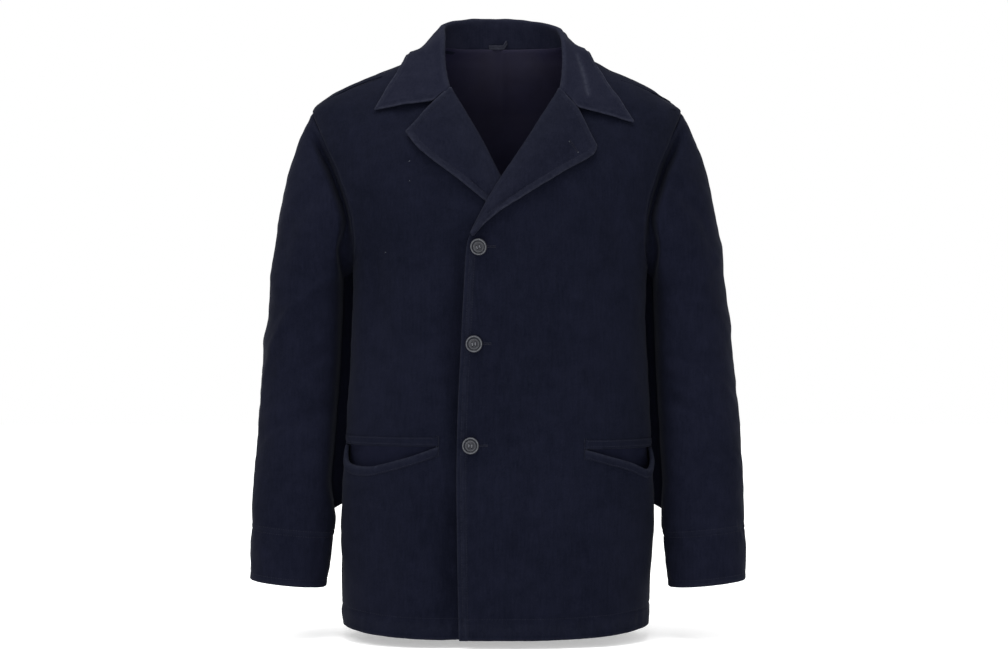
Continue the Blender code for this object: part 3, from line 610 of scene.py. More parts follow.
def tube(line, ups, radius, sides=8):
    """Points and faces of a closed tube along a line."""
    line = np.asarray(line, float)
    ahead = unit(np.gradient(line, axis=0))
    aside = unit(np.cross(ahead, ups))
    up = np.cross(aside, ahead)
    turns = 2 * np.pi * np.arange(sides)[:, None] / sides
    thick = radius * np.sqrt(np.clip(1 - np.linspace(-1, 1, len(line)) ** 8, 0.05, 1))
    round_it = aside[:, None] * np.cos(turns) + up[:, None] * np.sin(turns)
    rings = line[:, None] + thick[:, None, None] * round_it
    first = np.array([[0, k, k + 1, k + 2] for k in range(1, sides - 2, 2)])
    last = first + (len(line) - 1) * sides
    faces = np.concatenate([quads_of(len(line), sides, ring=True), first[:, ::-1], last])
    return rings.reshape(-1, 3), faces


# --- stitches ------------------------------------------------------------------------------

STITCH_SINK = 0.00012
STITCH_SQUASH = 1.15
StitchRing = namedtuple("StitchRing", "share thick sink")
STITCH_RINGS = table(
    StitchRing,
    (0.0, 0.25, 1.6), (0.22, 1.0, 0.2), (0.5, 1.15, -0.1), (0.78, 1.0, 0.2), (1.0, 0.25, 1.6),
)


def stitch_points(line, normals, length=0.0026, pitch=0.0034, radius=0.00028):
    """Points and faces of a row of stitches, at least one, on a line with normals."""
    lengths = run_lengths(line)
    starts = np.arange(0.0, max(lengths[-1] - length, 1e-9), pitch)
    span = at_lengths(line, lengths, starts + length) - at_lengths(line, lengths, starts)
    ahead = unit(span)
    rings = []
    for share, thick, sink in STITCH_RINGS:
        centre = at_lengths(line, lengths, starts + length * share)
        up = at_lengths(normals, lengths, starts + length * share)
        aside = unit(np.cross(ahead, up))
        centre = centre + up * (radius * 0.5 - STITCH_SINK - radius * sink * 0.5)
        corners = (aside * STITCH_SQUASH, up, -aside * STITCH_SQUASH, -up)
        rings.append(np.stack([centre + corner * radius * thick for corner in corners], 1))
    faces = np.concatenate([quads_of(len(rings), 4, ring=True), [[3, 2, 1, 0], [16, 17, 18, 19]]])
    base = np.arange(len(starts))[:, None, None] * 4 * len(rings)
    return np.stack(rings, 1).reshape(-1, 3), (faces + base).reshape(-1, 4)


def stitch_rows(name, lines, slot, material, **sizes):
    """One piece that holds several rows of stitches."""
    trim(joined(name, [stitch_points(*line, **sizes) for line in lines]), slot, material)

# --- materials -----------------------------------------------------------------------------


class Nodes:
    """Short way to build a material's nodes, with its plain looks by the shader's names."""

    def __init__(self, name, **looks):
        self.material = bpy.data.materials.new(name)
        self.material.use_nodes = True
        self.tree = self.material.node_tree
        self.shader = self.tree.nodes["Principled BSDF"]
        for key, value in looks.items():
            self.shader.inputs[key.replace("_", " ")].default_value = value

    def new(self, kind, **values):
        node = self.tree.nodes.new(kind)
        for key, value in values.items():
            if hasattr(node, key):
                setattr(node, key, value)
            else:
                node.inputs[key].default_value = value
        return node

    def feed(self, value, socket):
        """Links a node's output to a socket, or sets a number or a colour there."""
        if isinstance(value, bpy.types.NodeSocket):
            self.tree.links.new(value, socket)
        else:
            socket.default_value = (*value, 1.0) if isinstance(value, tuple) else value

    def place(self, stretch=None):
        coordinates = self.new("ShaderNodeTexCoord").outputs["Object"]
        if stretch is None:
            return coordinates
        mapping = self.new("ShaderNodeMapping", Scale=stretch)
        self.feed(coordinates, mapping.inputs["Vector"])
        return mapping.outputs["Vector"]

    def noise(self, place, scale=1.0, detail=2.0, roughness=0.5):
        node = self.new("ShaderNodeTexNoise", Scale=scale, Detail=detail, Roughness=roughness)
        self.feed(place, node.inputs["Vector"])
        return node.outputs["Fac"]

    def math(self, operation, a, b, clamp=False):
        node = self.new("ShaderNodeMath", operation=operation, use_clamp=clamp)
        self.feed(a, node.inputs[0])
        self.feed(b, node.inputs[1])
        return node.outputs[0]

    def blend(self, *parts):
        """Sum of values, each times its weight."""
        shares = [self.math("MULTIPLY", value, weight) for value, weight in parts]
        total = shares[0]
        for share in shares[1:]:
            total = self.math("ADD", total, share)
        return total

    def between(self, value, low, high, to_low=0.0, to_high=1.0):
        node = self.new("ShaderNodeMapRange")
        for socket, item in zip(node.inputs, (value, low, high, to_low, to_high)):
            self.feed(item, socket)
        return node.outputs["Result"]

    def mix(self, share, a, b):
        node = self.new("ShaderNodeMix", data_type="RGBA")
        for key, value in ((0, share), (6, a), (7, b)):
            self.feed(value, node.inputs[key])
        return node.outputs[2]

    def wear_and_highlight_mask(self, noise, low, high, least):
        """Where the surface is paler from rubbing and painted highlight, broken up by a noise."""
        worn = self.new("ShaderNodeAttribute", attribute_name="worn").outputs["Fac"]
        return self.math("MULTIPLY", worn, self.between(noise, low, high, least), clamp=True)

    def bump(self, height, distance, strength, below=None):
        node = self.new("ShaderNodeBump", Strength=strength, Distance=distance)
        self.feed(height, node.inputs["Height"])
        if below is not None:
            self.feed(below, node.inputs["Normal"])
        return node.outputs["Normal"]

    def finish(self, colour, relief):
        self.feed(colour, self.shader.inputs["Base Color"])
        self.feed(relief, self.shader.inputs["Normal"])
        return self.material


COTTON_SHEEN_TINT = (0.72, 0.78, 1.0, 1.0)
YARN_STRETCH = (1500.0, 1500.0, 420.0)
STREAK_STRETCH = (420.0, 420.0, 34.0)


def brushed_cotton(name, dark, light, worn, sheen=0.014):
    """Brushed cotton: napped, mottled, paler along seams and edges from rubbing and painted highlight.
    """
    n = Nodes(name, Roughness=0.92, Specular_IOR_Level=0.04, Sheen_Weight=sheen,
              Sheen_Roughness=0.42, Sheen_Tint=COTTON_SHEEN_TINT)
    place = n.place()
    broad = n.noise(place, 7.0, 4.0, 0.6)
    patch = n.noise(place, 46.0, 3.0, 0.6)
    fine = n.noise(place, 620.0, 2.0, 0.7)
    yarn = n.noise(n.place(YARN_STRETCH), detail=1.0)
    streak = n.noise(n.place(STREAK_STRETCH), detail=3.0, roughness=0.65)
    tone = n.between(n.blend((broad, 0.34), (patch, 0.30), (streak, 0.36)), 0.40, 0.61)
    grain = n.between(n.blend((fine, 0.6), (yarn, 0.4)), 0.30, 0.72)
    napped = n.mix(n.math("MULTIPLY", grain, 0.18), n.mix(tone, dark, light), worn)
    wear_and_highlight_mask = n.wear_and_highlight_mask(n.noise(place, 210.0, 3.0, 0.7), 0.32, 0.62, 0.15)
    low = n.bump(patch, 0.0012, 0.5)
    middle = n.bump(n.noise(place, 260.0, 3.0, 0.6), 0.00035, 0.55, low)
    return n.finish(
        n.mix(n.math("MULTIPLY", wear_and_highlight_mask, 0.85), napped, worn), n.bump(grain, 0.00012, 0.8, middle)
    )


def lining_twill():
    """Plain lining in a dark violet blue, with a fine twill and a soft gloss."""
    n = Nodes("lining_twill", Roughness=0.62, Specular_IOR_Level=0.10, Sheen_Weight=0.01)
    place = n.place()
    wave = n.new("ShaderNodeTexWave", wave_type="BANDS", bands_direction="DIAGONAL",
                 Scale=900.0, Distortion=0.6)
    n.feed(place, wave.inputs["Vector"])
    twill = wave.outputs["Fac"]
    tone = n.between(n.noise(place, 9.0, 3.0, 0.6), 0.35, 0.65)
    colour = n.mix(tone, (0.0048, 0.0038, 0.0122), (0.0068, 0.0062, 0.0190))
    low = n.bump(n.noise(place, 24.0, 3.0, 0.5), 0.002, 0.5)
    return n.finish(
        n.mix(n.math("MULTIPLY", twill, 0.25), colour, (0.012, 0.012, 0.028)),
        n.bump(twill, 0.00008, 0.4, low),
    )


def thread_material(name, dark, light):
    n = Nodes(name, Roughness=0.85, Specular_IOR_Level=0.05, Sheen_Weight=0.015)
    tone = n.between(n.noise(n.place(), 900.0, 2.0, 0.6), 0.3, 0.7)
    twist = n.noise(n.place((2500.0, 2500.0, 2500.0)))
    return n.finish(n.mix(tone, dark, light), n.bump(twist, 0.00006, 0.6))


def button_material():
    """Dark grey, horn-like plastic, clouded, with painted highlight on its raised rims."""
    n = Nodes("button_plastic", Roughness=0.46, Specular_IOR_Level=0.22)
    place = n.place()
    cloud = n.between(n.noise(n.place((260.0, 260.0, 120.0)), 1.0, 4.0, 0.65), 0.3, 0.7)
    colour = n.mix(cloud, (0.0045, 0.0050, 0.0080), (0.0120, 0.0130, 0.0180))
    # Painted highlight on the raised rims, mixed towards the pale grey below.
    rim = n.wear_and_highlight_mask(n.noise(place, 500.0, 2.0, 0.6), 0.3, 0.65, 0.35)
    relief = n.bump(n.noise(place, 1500.0, 2.0, 0.6), 0.00005, 0.35)
    return n.finish(n.mix(rim, colour, (0.088, 0.092, 0.101)), relief)


# Each cloth's and thread's dark and light tones; a cloth's third colour is its pale one, for rubbing
# and painted highlight.
WEAR_AND_HIGHLIGHT_COLOUR = (0.018, 0.020, 0.031)
OUTER = brushed_cotton(
    "outer_moleskin", (0.0007, 0.0012, 0.0046), (0.0026, 0.0032, 0.0086), WEAR_AND_HIGHLIGHT_COLOUR
)
SLEEVES = brushed_cotton(
    "sleeve_moleskin", (0.0011, 0.0016, 0.0055), (0.0032, 0.0038, 0.0098), WEAR_AND_HIGHLIGHT_COLOUR
)
# The collar's moleskin is a much lighter copy of the body's: painted light, where the collar faces the
# light from above.
TURNED_PAINTED_LIT = brushed_cotton(
    "collar_moleskin_painted_lit", (0.0022, 0.0028, 0.0080), (0.0054, 0.0060, 0.0130), (0.023, 0.025, 0.037),
    sheen=0.02,
)
# The lapels' moleskin is a lighter copy of the body's: painted light.
LAPELS_PAINTED_LIT = brushed_cotton(
    "lapel_moleskin_painted_lit", (0.0013, 0.0018, 0.0058), (0.0038, 0.0044, 0.0104), (0.022, 0.024, 0.036)
)
POCKETS = brushed_cotton(
    "pocket_moleskin", (0.0010, 0.0015, 0.0052), (0.0030, 0.0036, 0.0092), (0.019, 0.021, 0.032)
)
# Pocket bags, much lighter than the body's cloth so that the inside of each pocket is not in shade:
# painted light.
BAGS_PAINTED_LIT = brushed_cotton(
    "pocket_bag_cotton", (0.0050, 0.0060, 0.0150), (0.0078, 0.0088, 0.0200),
    (0.012, 0.013, 0.022), sheen=0.01,
)
LINING = lining_twill()
BUTTON = button_material()
THREAD = thread_material("topstitch_thread", (0.0026, 0.0031, 0.0078), (0.0150, 0.0162, 0.0265))
PURL_THREAD = thread_material("purl_thread", (0.0050, 0.0056, 0.0120), (0.0140, 0.0152, 0.0250))
BUTTON_THREAD = thread_material("button_thread", (0.060, 0.063, 0.074), (0.120, 0.124, 0.136))
LOOP_TAPE = thread_material("loop_tape", (0.008, 0.009, 0.016), (0.022, 0.023, 0.032))
LINT = thread_material("lint", (0.10, 0.11, 0.13), (0.20, 0.21, 0.23))

# --- fronts --------------------------------------------------------------------------------

EDGE_STITCH = 0.0055
SECOND_STITCH = 0.0125
INNER_COLUMNS = 62
POCKET_COLUMNS = 40
SIDE_COLUMNS = 12
LIP_FADE_Z = -0.64
DEEPEST_SAG = 0.029
LIP_FADE = table(
    Lip,
    (LIP_FADE_Z, 0.0), (-0.608, 0.15), (-0.59, 0.5), (-0.569, 0.96), (-0.56, 1.0),
)
LIP_OUT = table(
    Lip,
    (LIP_FADE_Z, 0.0), (-0.608, 0.35), (-0.59, 0.62), (-0.569, 0.86), (-0.56, 1.0),
)

# Creases of the fronts, as lines in x and z with their width and height.
FOLD_STRENGTH = 2.1
FRONT_FOLDS = {
    LEFT: table(
        Fold,
        (((0.1675, -0.0482), (0.21, -0.0655), (0.2554, -0.0873)), 0.0022, -0.0007),
        (((0.026, -0.33), (0.012, -0.42), (-0.004, -0.51), (-0.008, -0.56)), 0.011, -0.0022),
        (((0.044, -0.32), (0.034, -0.42), (0.018, -0.52)), 0.015, 0.0014),
        (((0.036, -0.625), (0.026, -0.675), (0.021, -0.735)), 0.009, -0.0018),
        (((0.052, -0.6), (0.048, -0.68), (0.046, -0.76)), 0.014, 0.0012),
        (((0.146, -0.485), (0.16, -0.47), (0.178, -0.456)), 0.0035, 0.001),
        (((0.196, -0.25), (0.182, -0.33), (0.176, -0.43), (0.18, -0.52)), 0.016, 0.0016),
        (((0.13, -0.2), (0.16, -0.26), (0.17, -0.32)), 0.013, -0.0015),
        (((0.1, -0.62), (0.108, -0.69), (0.104, -0.78)), 0.016, -0.0015),
        (((-0.03, -0.3), (0.01, -0.318), (0.06, -0.322)), 0.01, -0.001),
        (((-0.036, -0.565), (-0.02, -0.64), (-0.024, -0.74)), 0.012, 0.0012),
        (((0.07, -0.33), (0.085, -0.42), (0.083, -0.5)), 0.018, -0.0014),
    ),
    RIGHT: table(
        Fold,
        (((-0.1604, -0.0426), (-0.205, -0.06), (-0.2525, -0.0817)), 0.0022, -0.0007),
        (((-0.186, -0.27), (-0.19, -0.34), (-0.188, -0.43), (-0.192, -0.52)), 0.014, 0.002),
        (((-0.16, -0.24), (-0.166, -0.32), (-0.16, -0.42)), 0.016, -0.0016),
        (((-0.078, -0.65), (-0.072, -0.7), (-0.07, -0.79)), 0.012, -0.0012),
        (((-0.128, -0.62), (-0.134, -0.69), (-0.128, -0.78)), 0.018, 0.0014),
        (((-0.128, -0.345), (-0.12, -0.352), (-0.112, -0.362)), 0.0035, 0.0008),
        (((-0.078, -0.3), (-0.09, -0.38), (-0.088, -0.47)), 0.02, 0.0014),
        (((-0.064, -0.33), (-0.066, -0.42), (-0.062, -0.52)), 0.01, -0.0014),
        (((-0.046, -0.27), (-0.05, -0.42), (-0.052, -0.575)), 0.013, -0.0058),
        (((-0.056, -0.575), (-0.054, -0.68), (-0.054, -0.85)), 0.018, -0.0062),
    ),
}
# Relief and paleness in from the front edge, the side seam and the hem; the pale band just in from the
# front edge is painted highlight as well as rubbing.
EDGE_RIDGES = table(
    Ridge,
    (0.0013, 0.003, 0.0038), (-0.0008, EDGE_STITCH, 0.0016), (-0.0009, SECOND_STITCH, 0.0022),
    (0.0006, 0.009, 0.0025),
)
EDGE_WEAR_AND_HIGHLIGHT = table(Ridge, (0.34, 0.0, 0.0013), (0.20, 0.0075, 0.0045))
SIDE_WEAR = table(Ridge, (0.16, 0.0035, 0.003))
HEM_RIDGES = table(Ridge, (0.0005, HEM_TURN * 0.45, 0.011), (-0.0009, HEM_TURN, 0.0022))
HEM_WEAR = table(Ridge, (0.34, 0.0, 0.0015), (0.10, HEM_TURN * 0.5, 0.008))


def under_drop(x, z):
    """How far the under front lies below the form, where the other front laps over it."""
    lap = smooth_step(-0.125, -0.060, x)
    above_break = smooth_step(-0.320, -0.200, z)
    below_neck = 1 - smooth_step(-0.185, -0.090, z)
    return lap * below_neck * (0.0048 + 0.0052 * above_break)


def front_limits(side, z):
    """Angles at which a front starts, is cut and would meet the side seam, by height."""
    seam = side * 2 * SEAM_GAP / body(z, "half_width")
    start = front_angle(curve(FRONT_EDGE[side], z, "z", "x"), z)
    return start, armhole_angle(z, side, True) - seam, side * math.pi / 2 - seam


def front_rows(side, z, shares):
    """Points of a front at heights, and at shares of the way from its edge to its side."""
    grid = panel(z, *front_limits(side, z), shares)
    if side == RIGHT:
        grid[..., 1] += under_drop(grid[..., 0], z[:, None])
    return grid


def pocket_limits(side):
    """Shares of the way from the front edge to the side seam where a pocket starts and ends."""
    z = np.array([POCKET_Z[side]])
    start, stop, _ = front_limits(side, z)
    shares = np.linspace(0, 1, 2001)
    angles, _ = arc_angles(z, start, stop, shares[None])
    x = polar_point(z[:, None], angles)[0, :, 0]
    split = float(shares[np.argmin(np.abs(x - POCKET_INNER_X[side]))])
    return split, split + (1 - split) * POCKET_REACH[side]


def front_heights(side):
    """Heights of a front's rows, and the row of its pocket's lower lip."""
    slit = POCKET_Z[side]
    lip = slit - SLIT_GAP
    low = mesh_rows(
        (HEM_Z, HEM_Z + HEM_TURN, LIP_FADE_Z, lip - POCKET_WELT, lip), (16, 34, 30, 8)
    )
    high = mesh_rows((slit, slit + POCKET_BAND, ARMPIT_Z), (7, 62))[:-1]
    top = mesh_rows((SHOULDER_Z, -0.0055), (34,))[1:]
    return np.concatenate([low, high, armhole_rows(64), top]), len(low) - 1


def front_grid(side):
    """Outer points of a front, its rows from the hem up, and what the pocket needs."""
    z, lip = front_heights(side)
    split, stop = pocket_limits(side)
    shares = np.concatenate([
        split * np.linspace(0, 1, INNER_COLUMNS, endpoint=False) ** 1.12,
        np.linspace(split, stop, POCKET_COLUMNS, endpoint=False),
        np.linspace(stop, 1, SIDE_COLUMNS + 1),
    ])
    grid = front_rows(side, z, shares)
    grid[..., 2] += hem_lift(grid)
    low = grid[: lip + 1]
    at = np.clip((shares - split) / (stop - split), 0, 1)
    sag = np.maximum(curve(POCKET_LIP[side], at, "at", "sag"), 0.0)
    fade, out = (curve(rows, z[: lip + 1], "at", "sag")[:, None] for rows in (LIP_FADE, LIP_OUT))
    low += form_normal(low)[0] * [1, 1, 0] * (POCKET_GAPE * out * sag / DEEPEST_SAG)[..., None]
    low[..., 2] -= fade * sag
    first, last = INNER_COLUMNS, INNER_COLUMNS + POCKET_COLUMNS
    if side == RIGHT:
        grid = grid[:, ::-1]
        first, last = grid.shape[1] - 1 - last, grid.shape[1] - 1 - first
    return grid, lip, first, last


def seam_dip(distance, depth=0.0009, width=0.0035):
    """Soft hollow where the cloth turns into a seam, with a low ridge beside it."""
    return ridges(distance, ((-depth, 0.0, width), (depth * 0.6, width * 2.2, width * 1.2)))


def panel_relief(grid, from_side, pucker_seed):
    """Height and paleness from rubbing along the side seams and the turned hem of a front or the back.
    """
    x, z = grid[..., 0], grid[..., 2]
    hem = z - HEM_Z - hem_lift(grid)
    pucker = waves(x, x * 0, 0.017, pucker_seed, 9) * bell(hem - HEM_TURN * 0.6, 0.016)
    height = seam_dip(from_side) + ridges(hem, HEM_RIDGES) + 0.0007 * pucker
    worn = ridges(hem, HEM_WEAR) + ridges(from_side, SIDE_WEAR) * smooth_step(-0.32, -0.27, z)
    return height, worn


def make_front(side):
    grid, lip, first, last = front_grid(side)
    x, z = grid[..., 0], grid[..., 2]
    from_edge = edge_distance(grid, from_end=side == RIGHT)
    height, worn = panel_relief(grid, edge_distance(grid, from_end=side == LEFT), 51 + side)
    height += FOLD_STRENGTH * folded(x, z, FRONT_FOLDS[side])
    height += 0.0011 * waves(x, z * 0.55, 0.085, 21 + side)
    height += 0.00045 * waves(x, z, 0.034, 31 + side) + 0.00012 * waves(x, z, 0.010, 41 + side)
    below_break = smooth_step(-0.262, -0.290, z)
    pucker = waves(z, z * 0, 0.011, 11 + side) * bell(from_edge - 0.004, 0.005)
    height += below_break * (ridges(from_edge, EDGE_RIDGES) + 0.00028 * pucker)
    if side == LEFT:
        height += 0.0016 * bell(from_edge, 0.010) * below_break
    # Paler band along the front edge, from rubbing, with a painted highlight between the edge and its
    # stitches.
    worn = np.clip(worn + ridges(from_edge, EDGE_WEAR_AND_HIGHLIGHT) * below_break, 0, 1)
    grid = displaced(grid, height)
    skip = np.zeros((grid.shape[0] - 1, grid.shape[1] - 1), bool)
    skip[lip, first:last] = True
    name, rests_on = "front_" + WORDS[side], ["back", "sleeve_" + WORDS[side]]
    cloth(name, grid, SHELL, "outer_cloth", OUTER, "hung", rests_on, skip=skip, worn=worn)
    return grid, lip, first, last


FRONTS = {side: make_front(side) for side in BOTH}
FRONT_GRIDS = {side: FRONTS[side][0] for side in BOTH}

# --- back and lining -----------------------------------------------------------------------

BACK_HALF_COLUMNS = 74
BACK_TUCK = 0.0016
LINING_HALF_COLUMNS = 56
LINING_TUCK = 0.006
LINING_TUCK_ROWS = 6
BACK_FOLDS = table(
    Fold,
    (((-0.15, -0.23), (-0.12, -0.33), (-0.118, -0.48)), 0.02, -0.0022),
    (((0.15, -0.24), (0.128, -0.34), (0.124, -0.47)), 0.02, -0.002),
    (((0.012, -0.36), (0.02, -0.5), (0.01, -0.72)), 0.026, 0.0018),
    (((-0.06, -0.52), (-0.072, -0.64), (-0.066, -0.79)), 0.022, -0.0018),
    (((0.078, -0.54), (0.07, -0.66), (0.082, -0.79)), 0.022, -0.0016),
    (((-0.1, -0.12), (-0.02, -0.135), (0.08, -0.125)), 0.022, -0.001),
    (((-0.18, -0.42), (-0.17, -0.56), (-0.176, -0.74)), 0.016, 0.0014),
    (((0.184, -0.4), (0.174, -0.56), (0.18, -0.76)), 0.016, 0.0014),
)


def back_grid(z, half_columns):
    """Outer points of the back, its rows running from the wearer's left to the right."""
    shares = np.linspace(0, 1, half_columns + 1)
    seam = -BACK_TUCK / body(z, "half_width")
    halves = []
    for side in BOTH:
        middle = np.full(len(z), side * math.pi)
        cut = armhole_angle(z, side, False) + side * seam
        halves.append(panel(z, middle, cut, side * (math.pi / 2 + seam), shares))
    grid = np.concatenate([halves[0][:, ::-1], halves[1][:, 1:]], axis=1)
    grid[..., 2] += hem_lift(grid)
    return grid


def make_back():
    low = mesh_rows((HEM_Z, HEM_Z + HEM_TURN, ARMPIT_Z), (14, 112))[:-1]
    top = mesh_rows((SHOULDER_Z, NECK_Z), (34,))[1:]
    grid = back_grid(np.concatenate([low, armhole_rows(52), top]), BACK_HALF_COLUMNS)
    x, z = grid[..., 0], grid[..., 2]
    from_side = np.minimum(edge_distance(grid), edge_distance(grid, from_end=True))
    height, worn = panel_relief(grid, from_side, 64)
    height += folded(x, z, BACK_FOLDS) - 0.0012 * bell(from_side, 0.0026)
    height += 0.0012 * waves(x, z * 0.55, 0.090, 61, spread=0.25)
    height += 0.00015 * waves(x, z, 0.034, 62) + 0.00012 * waves(x, z, 0.010, 63)
    grid = displaced(grid, height)
    rests_on = ["front_left", "front_right", "sleeve_left", "sleeve_right"]
    cloth("back", grid, SHELL, "outer_cloth", OUTER, "hung", rests_on, worn=np.clip(worn, 0, 1))
    return grid


def make_lining():
    z = mesh_rows((-0.780, -0.330), (60,))[:-1]
    grid = back_grid(np.concatenate([z, np.linspace(-0.330, -0.004, 90)]), LINING_HALF_COLUMNS)
    share = np.abs(np.linspace(-1, 1, grid.shape[1]))
    inset = (body(grid[..., 2], "centre") - grid[..., 0]) * LINING_INSET * share**4
    grid = grid - level_normal(grid) * LINING_DROP
    grid[..., 0] += inset
    grid[-LINING_TUCK_ROWS:, :, 2] += np.linspace(0.0, LINING_TUCK, LINING_TUCK_ROWS)[:, None]
    x, z = grid[..., 0], grid[..., 2]
    ease = 0.0012 * waves(x, z * 0.4, 0.060, 71) - 0.0012
    ease -= 0.0016 * bell(x - 0.004, 0.006) * smooth_step(-0.16, -0.06, z)
    grid = displaced(grid, np.minimum(ease, 0.0))
    cloth("back_lining", grid, LINING_WALL, "lining", LINING, "hung", ["back"], name="lining")


# --- sleeves -------------------------------------------------------------------------------

SLEEVE_COLUMNS = 128
SLEEVE_RADIUS = 0.062
CAP_ROWS = 64
# Deep hollow beside the body: its width and round, and where its front and rear walls fade,
# in height and in depth.
HOLLOW_WIDTH = {RIGHT: 0.0170, LEFT: 0.0120}
HOLLOW_ROUND = 0.0070
HOLLOW_Z = ((-0.240, -0.310), (-0.665, -0.600))
FRONT_WALL_Z = ((-0.235, -0.290), (-0.665, -0.640))
FRONT_WALL_Y = ((0.056, 0.034),)
REAR_WALL_Z = ((-0.235, -0.262), (-0.664, -0.632))
REAR_WALL_Y = ((0.032, 0.054), (0.084, 0.066))
REAR_WALL_GAP = 0.0006
REAR_WALL_PULL = 0.050
BEND_LEVEL_Z = -0.42
# Valley of the cloth in front of the armhole seam.
VALLEY_Z = ((-0.105, -0.175), (-0.350, -0.318))
VALLEY_DEPTH = 0.030
Crease = namedtuple("Crease", "turn z slant reach width depth")
# Creases of a sleeve: turn from its outer side, height, slope, reach, width and height out.
SLEEVE_CREASES = {
    LEFT: table(
        Crease,
        (1.5, -0.44, 0.3, 0.06, 0.011, -0.0022), (1.9, -0.5, 0.55, 0.05, 0.012, -0.0024),
        (1.3, -0.57, -0.35, 0.055, 0.01, -0.0018), (2.3, -0.46, 0.2, 0.05, 0.012, -0.002),
        (0.6, -0.3, -0.6, 0.08, 0.018, 0.0014), (4.6, -0.48, 0.3, 0.07, 0.013, -0.0024),
        (4.2, -0.54, -0.3, 0.06, 0.012, -0.002), (4.9, -0.6, 0.2, 0.055, 0.012, -0.0018),
        (1.1, -0.64, 0.45, 0.05, 0.01, -0.0014), (5.6, -0.4, 0.4, 0.08, 0.016, 0.0014),
        (1.05, -0.23, 1.2, 0.075, 0.013, -0.0016),
    ),
    RIGHT: table(
        Crease,
        (1.45, -0.355, 0.75, 0.105, 0.01, 0.002), (1.8, -0.44, 0.5, 0.06, 0.012, -0.0022),
        (1.3, -0.52, 0.35, 0.055, 0.011, -0.002), (2.3, -0.5, 0.25, 0.05, 0.012, -0.002),
        (0.6, -0.33, -0.5, 0.08, 0.018, 0.0012), (4.5, -0.47, 0.35, 0.07, 0.013, -0.0024),
        (4.3, -0.55, -0.25, 0.06, 0.012, -0.002), (4.9, -0.62, 0.2, 0.055, 0.012, -0.0016),
        (1.6, -0.61, -0.4, 0.05, 0.011, -0.0016), (5.6, -0.42, 0.4, 0.08, 0.016, 0.0014),
        (1.05, -0.235, 1.2, 0.075, 0.013, -0.0014),
    ),
}
CUFF_RIDGES = table(
    Ridge,
    (0.0006, CUFF_TURN * 0.5, 0.022), (-0.0009, CUFF_TURN, 0.0020),
    (-0.0006, CUFF_TURN + 0.0075, 0.0018), (-0.0005, 0.0085, 0.0018),
)
CUFF_WEAR = table(
    Ridge, (0.40, 0.0, 0.0015), (0.10, 0.004, 0.003), (0.10, CUFF_TURN + 0.0038, 0.003)
)


def window(value, fades):
    """1 inside a range of values, fading to 0 across each pair of limits."""
    return math.prod(smooth_step(low, high, value) for low, high in fades)


def sleeve_point(side, z, turn):
    """Point of a sleeve section: turn 0 is its outer side, a quarter its front."""
    outset = SLEEVE_OUTSET[side] * (1 - smooth_step(-0.34, -0.55, z))
    outer, inner = curve(SLEEVE, z, "z", "outer") + outset, curve(SLEEVE, z, "z", "inner")
    across, ahead = np.cos(turn), np.sin(turn)
    size = np.abs(across) ** SLEEVE_POWER + np.abs(ahead) ** SLEEVE_POWER
    radius = size ** (-1 / SLEEVE_POWER)
    x = (outer + inner) / 2 + (outer - inner) / 2 * radius * across
    y = curve(SLEEVE, z, "z", "bend") - curve(SLEEVE, z, "z", "depth") * radius * ahead
    return np.stack([body(z, "centre") * 0.4 + side * x, y, z + 0 * x], -1)


def beside_body(side, turn, point):
    """Points of the sleeve's inner side, kept just clear of the body."""
    x, y, z = np.moveaxis(point, -1, 0)
    nearest = body(z, "centre") * side + body_side(y, z) + SLEEVE_CLEARANCE
    kept = np.where(np.cos(turn) > 0, x * side, np.maximum(x * side, nearest))
    return np.stack([kept * side, y, z], -1)


def pressed(side, turn, grid, to_seam):
    """Sleeve points with a deep hollow beside the body in front, closed by its rear part."""
    x, y, z = np.moveaxis(grid, -1, 0)
    x = x * side
    middle = body(z, "centre") * side
    inside = smooth_step(0.15, -0.30, np.cos(turn)) * smooth_step(0.001, 0.015, to_seam)
    level = y - curve(SLEEVE, z, "z", "bend") + curve(SLEEVE, BEND_LEVEL_Z, "z", "bend")
    limit = middle + body(z, "half_width") + HOLLOW_WIDTH[side] * window(z, HOLLOW_Z)
    past = np.clip((limit - x) / HOLLOW_ROUND, -30, 30)
    front = window(level, FRONT_WALL_Y) * window(z, FRONT_WALL_Z) * inside
    x = x + HOLLOW_ROUND * np.log1p(np.exp(past)) * front
    rear = window(level, REAR_WALL_Y) * window(z, REAR_WALL_Z) * inside
    gap = x - middle - body_side(y, z) - REAR_WALL_GAP
    x = x - np.clip(gap, 0, REAR_WALL_PULL) * rear
    return np.stack([x * side, y, z], -1)


def cap_point(side, turn, share):
    """Points of the sleeve head: share 0 is the armhole, 1 the first plain section."""
    across, ahead = np.cos(turn), np.sin(turn)
    z = ARMHOLE_MIDDLE + ARMHOLE_REACH * across * 0.9999
    cut = np.where(ahead >= 0, armhole_angle(z, side, True), armhole_angle(z, side, False))
    top = (1 + across) / 2
    steep = np.radians(59 + 20 * (1 - top) ** 2 - 12 * ahead**2)
    leave = unit(np.stack([side * np.cos(steep), -0.30 * ahead, -np.sin(steep)], -1))
    start = polar_point(z, cut) + leave * 0.0002 - [side * 0.0010, 0, 0]
    stop, below = (
        sleeve_point(side, np.full_like(turn, SLEEVE[0].z - drop), turn) for drop in (0, 0.02)
    )
    reach = np.linalg.norm(stop - start, axis=-1, keepdims=True) * CAP_FULLNESS
    return hermite(share, start, leave * reach, stop, unit(below - stop) * reach)


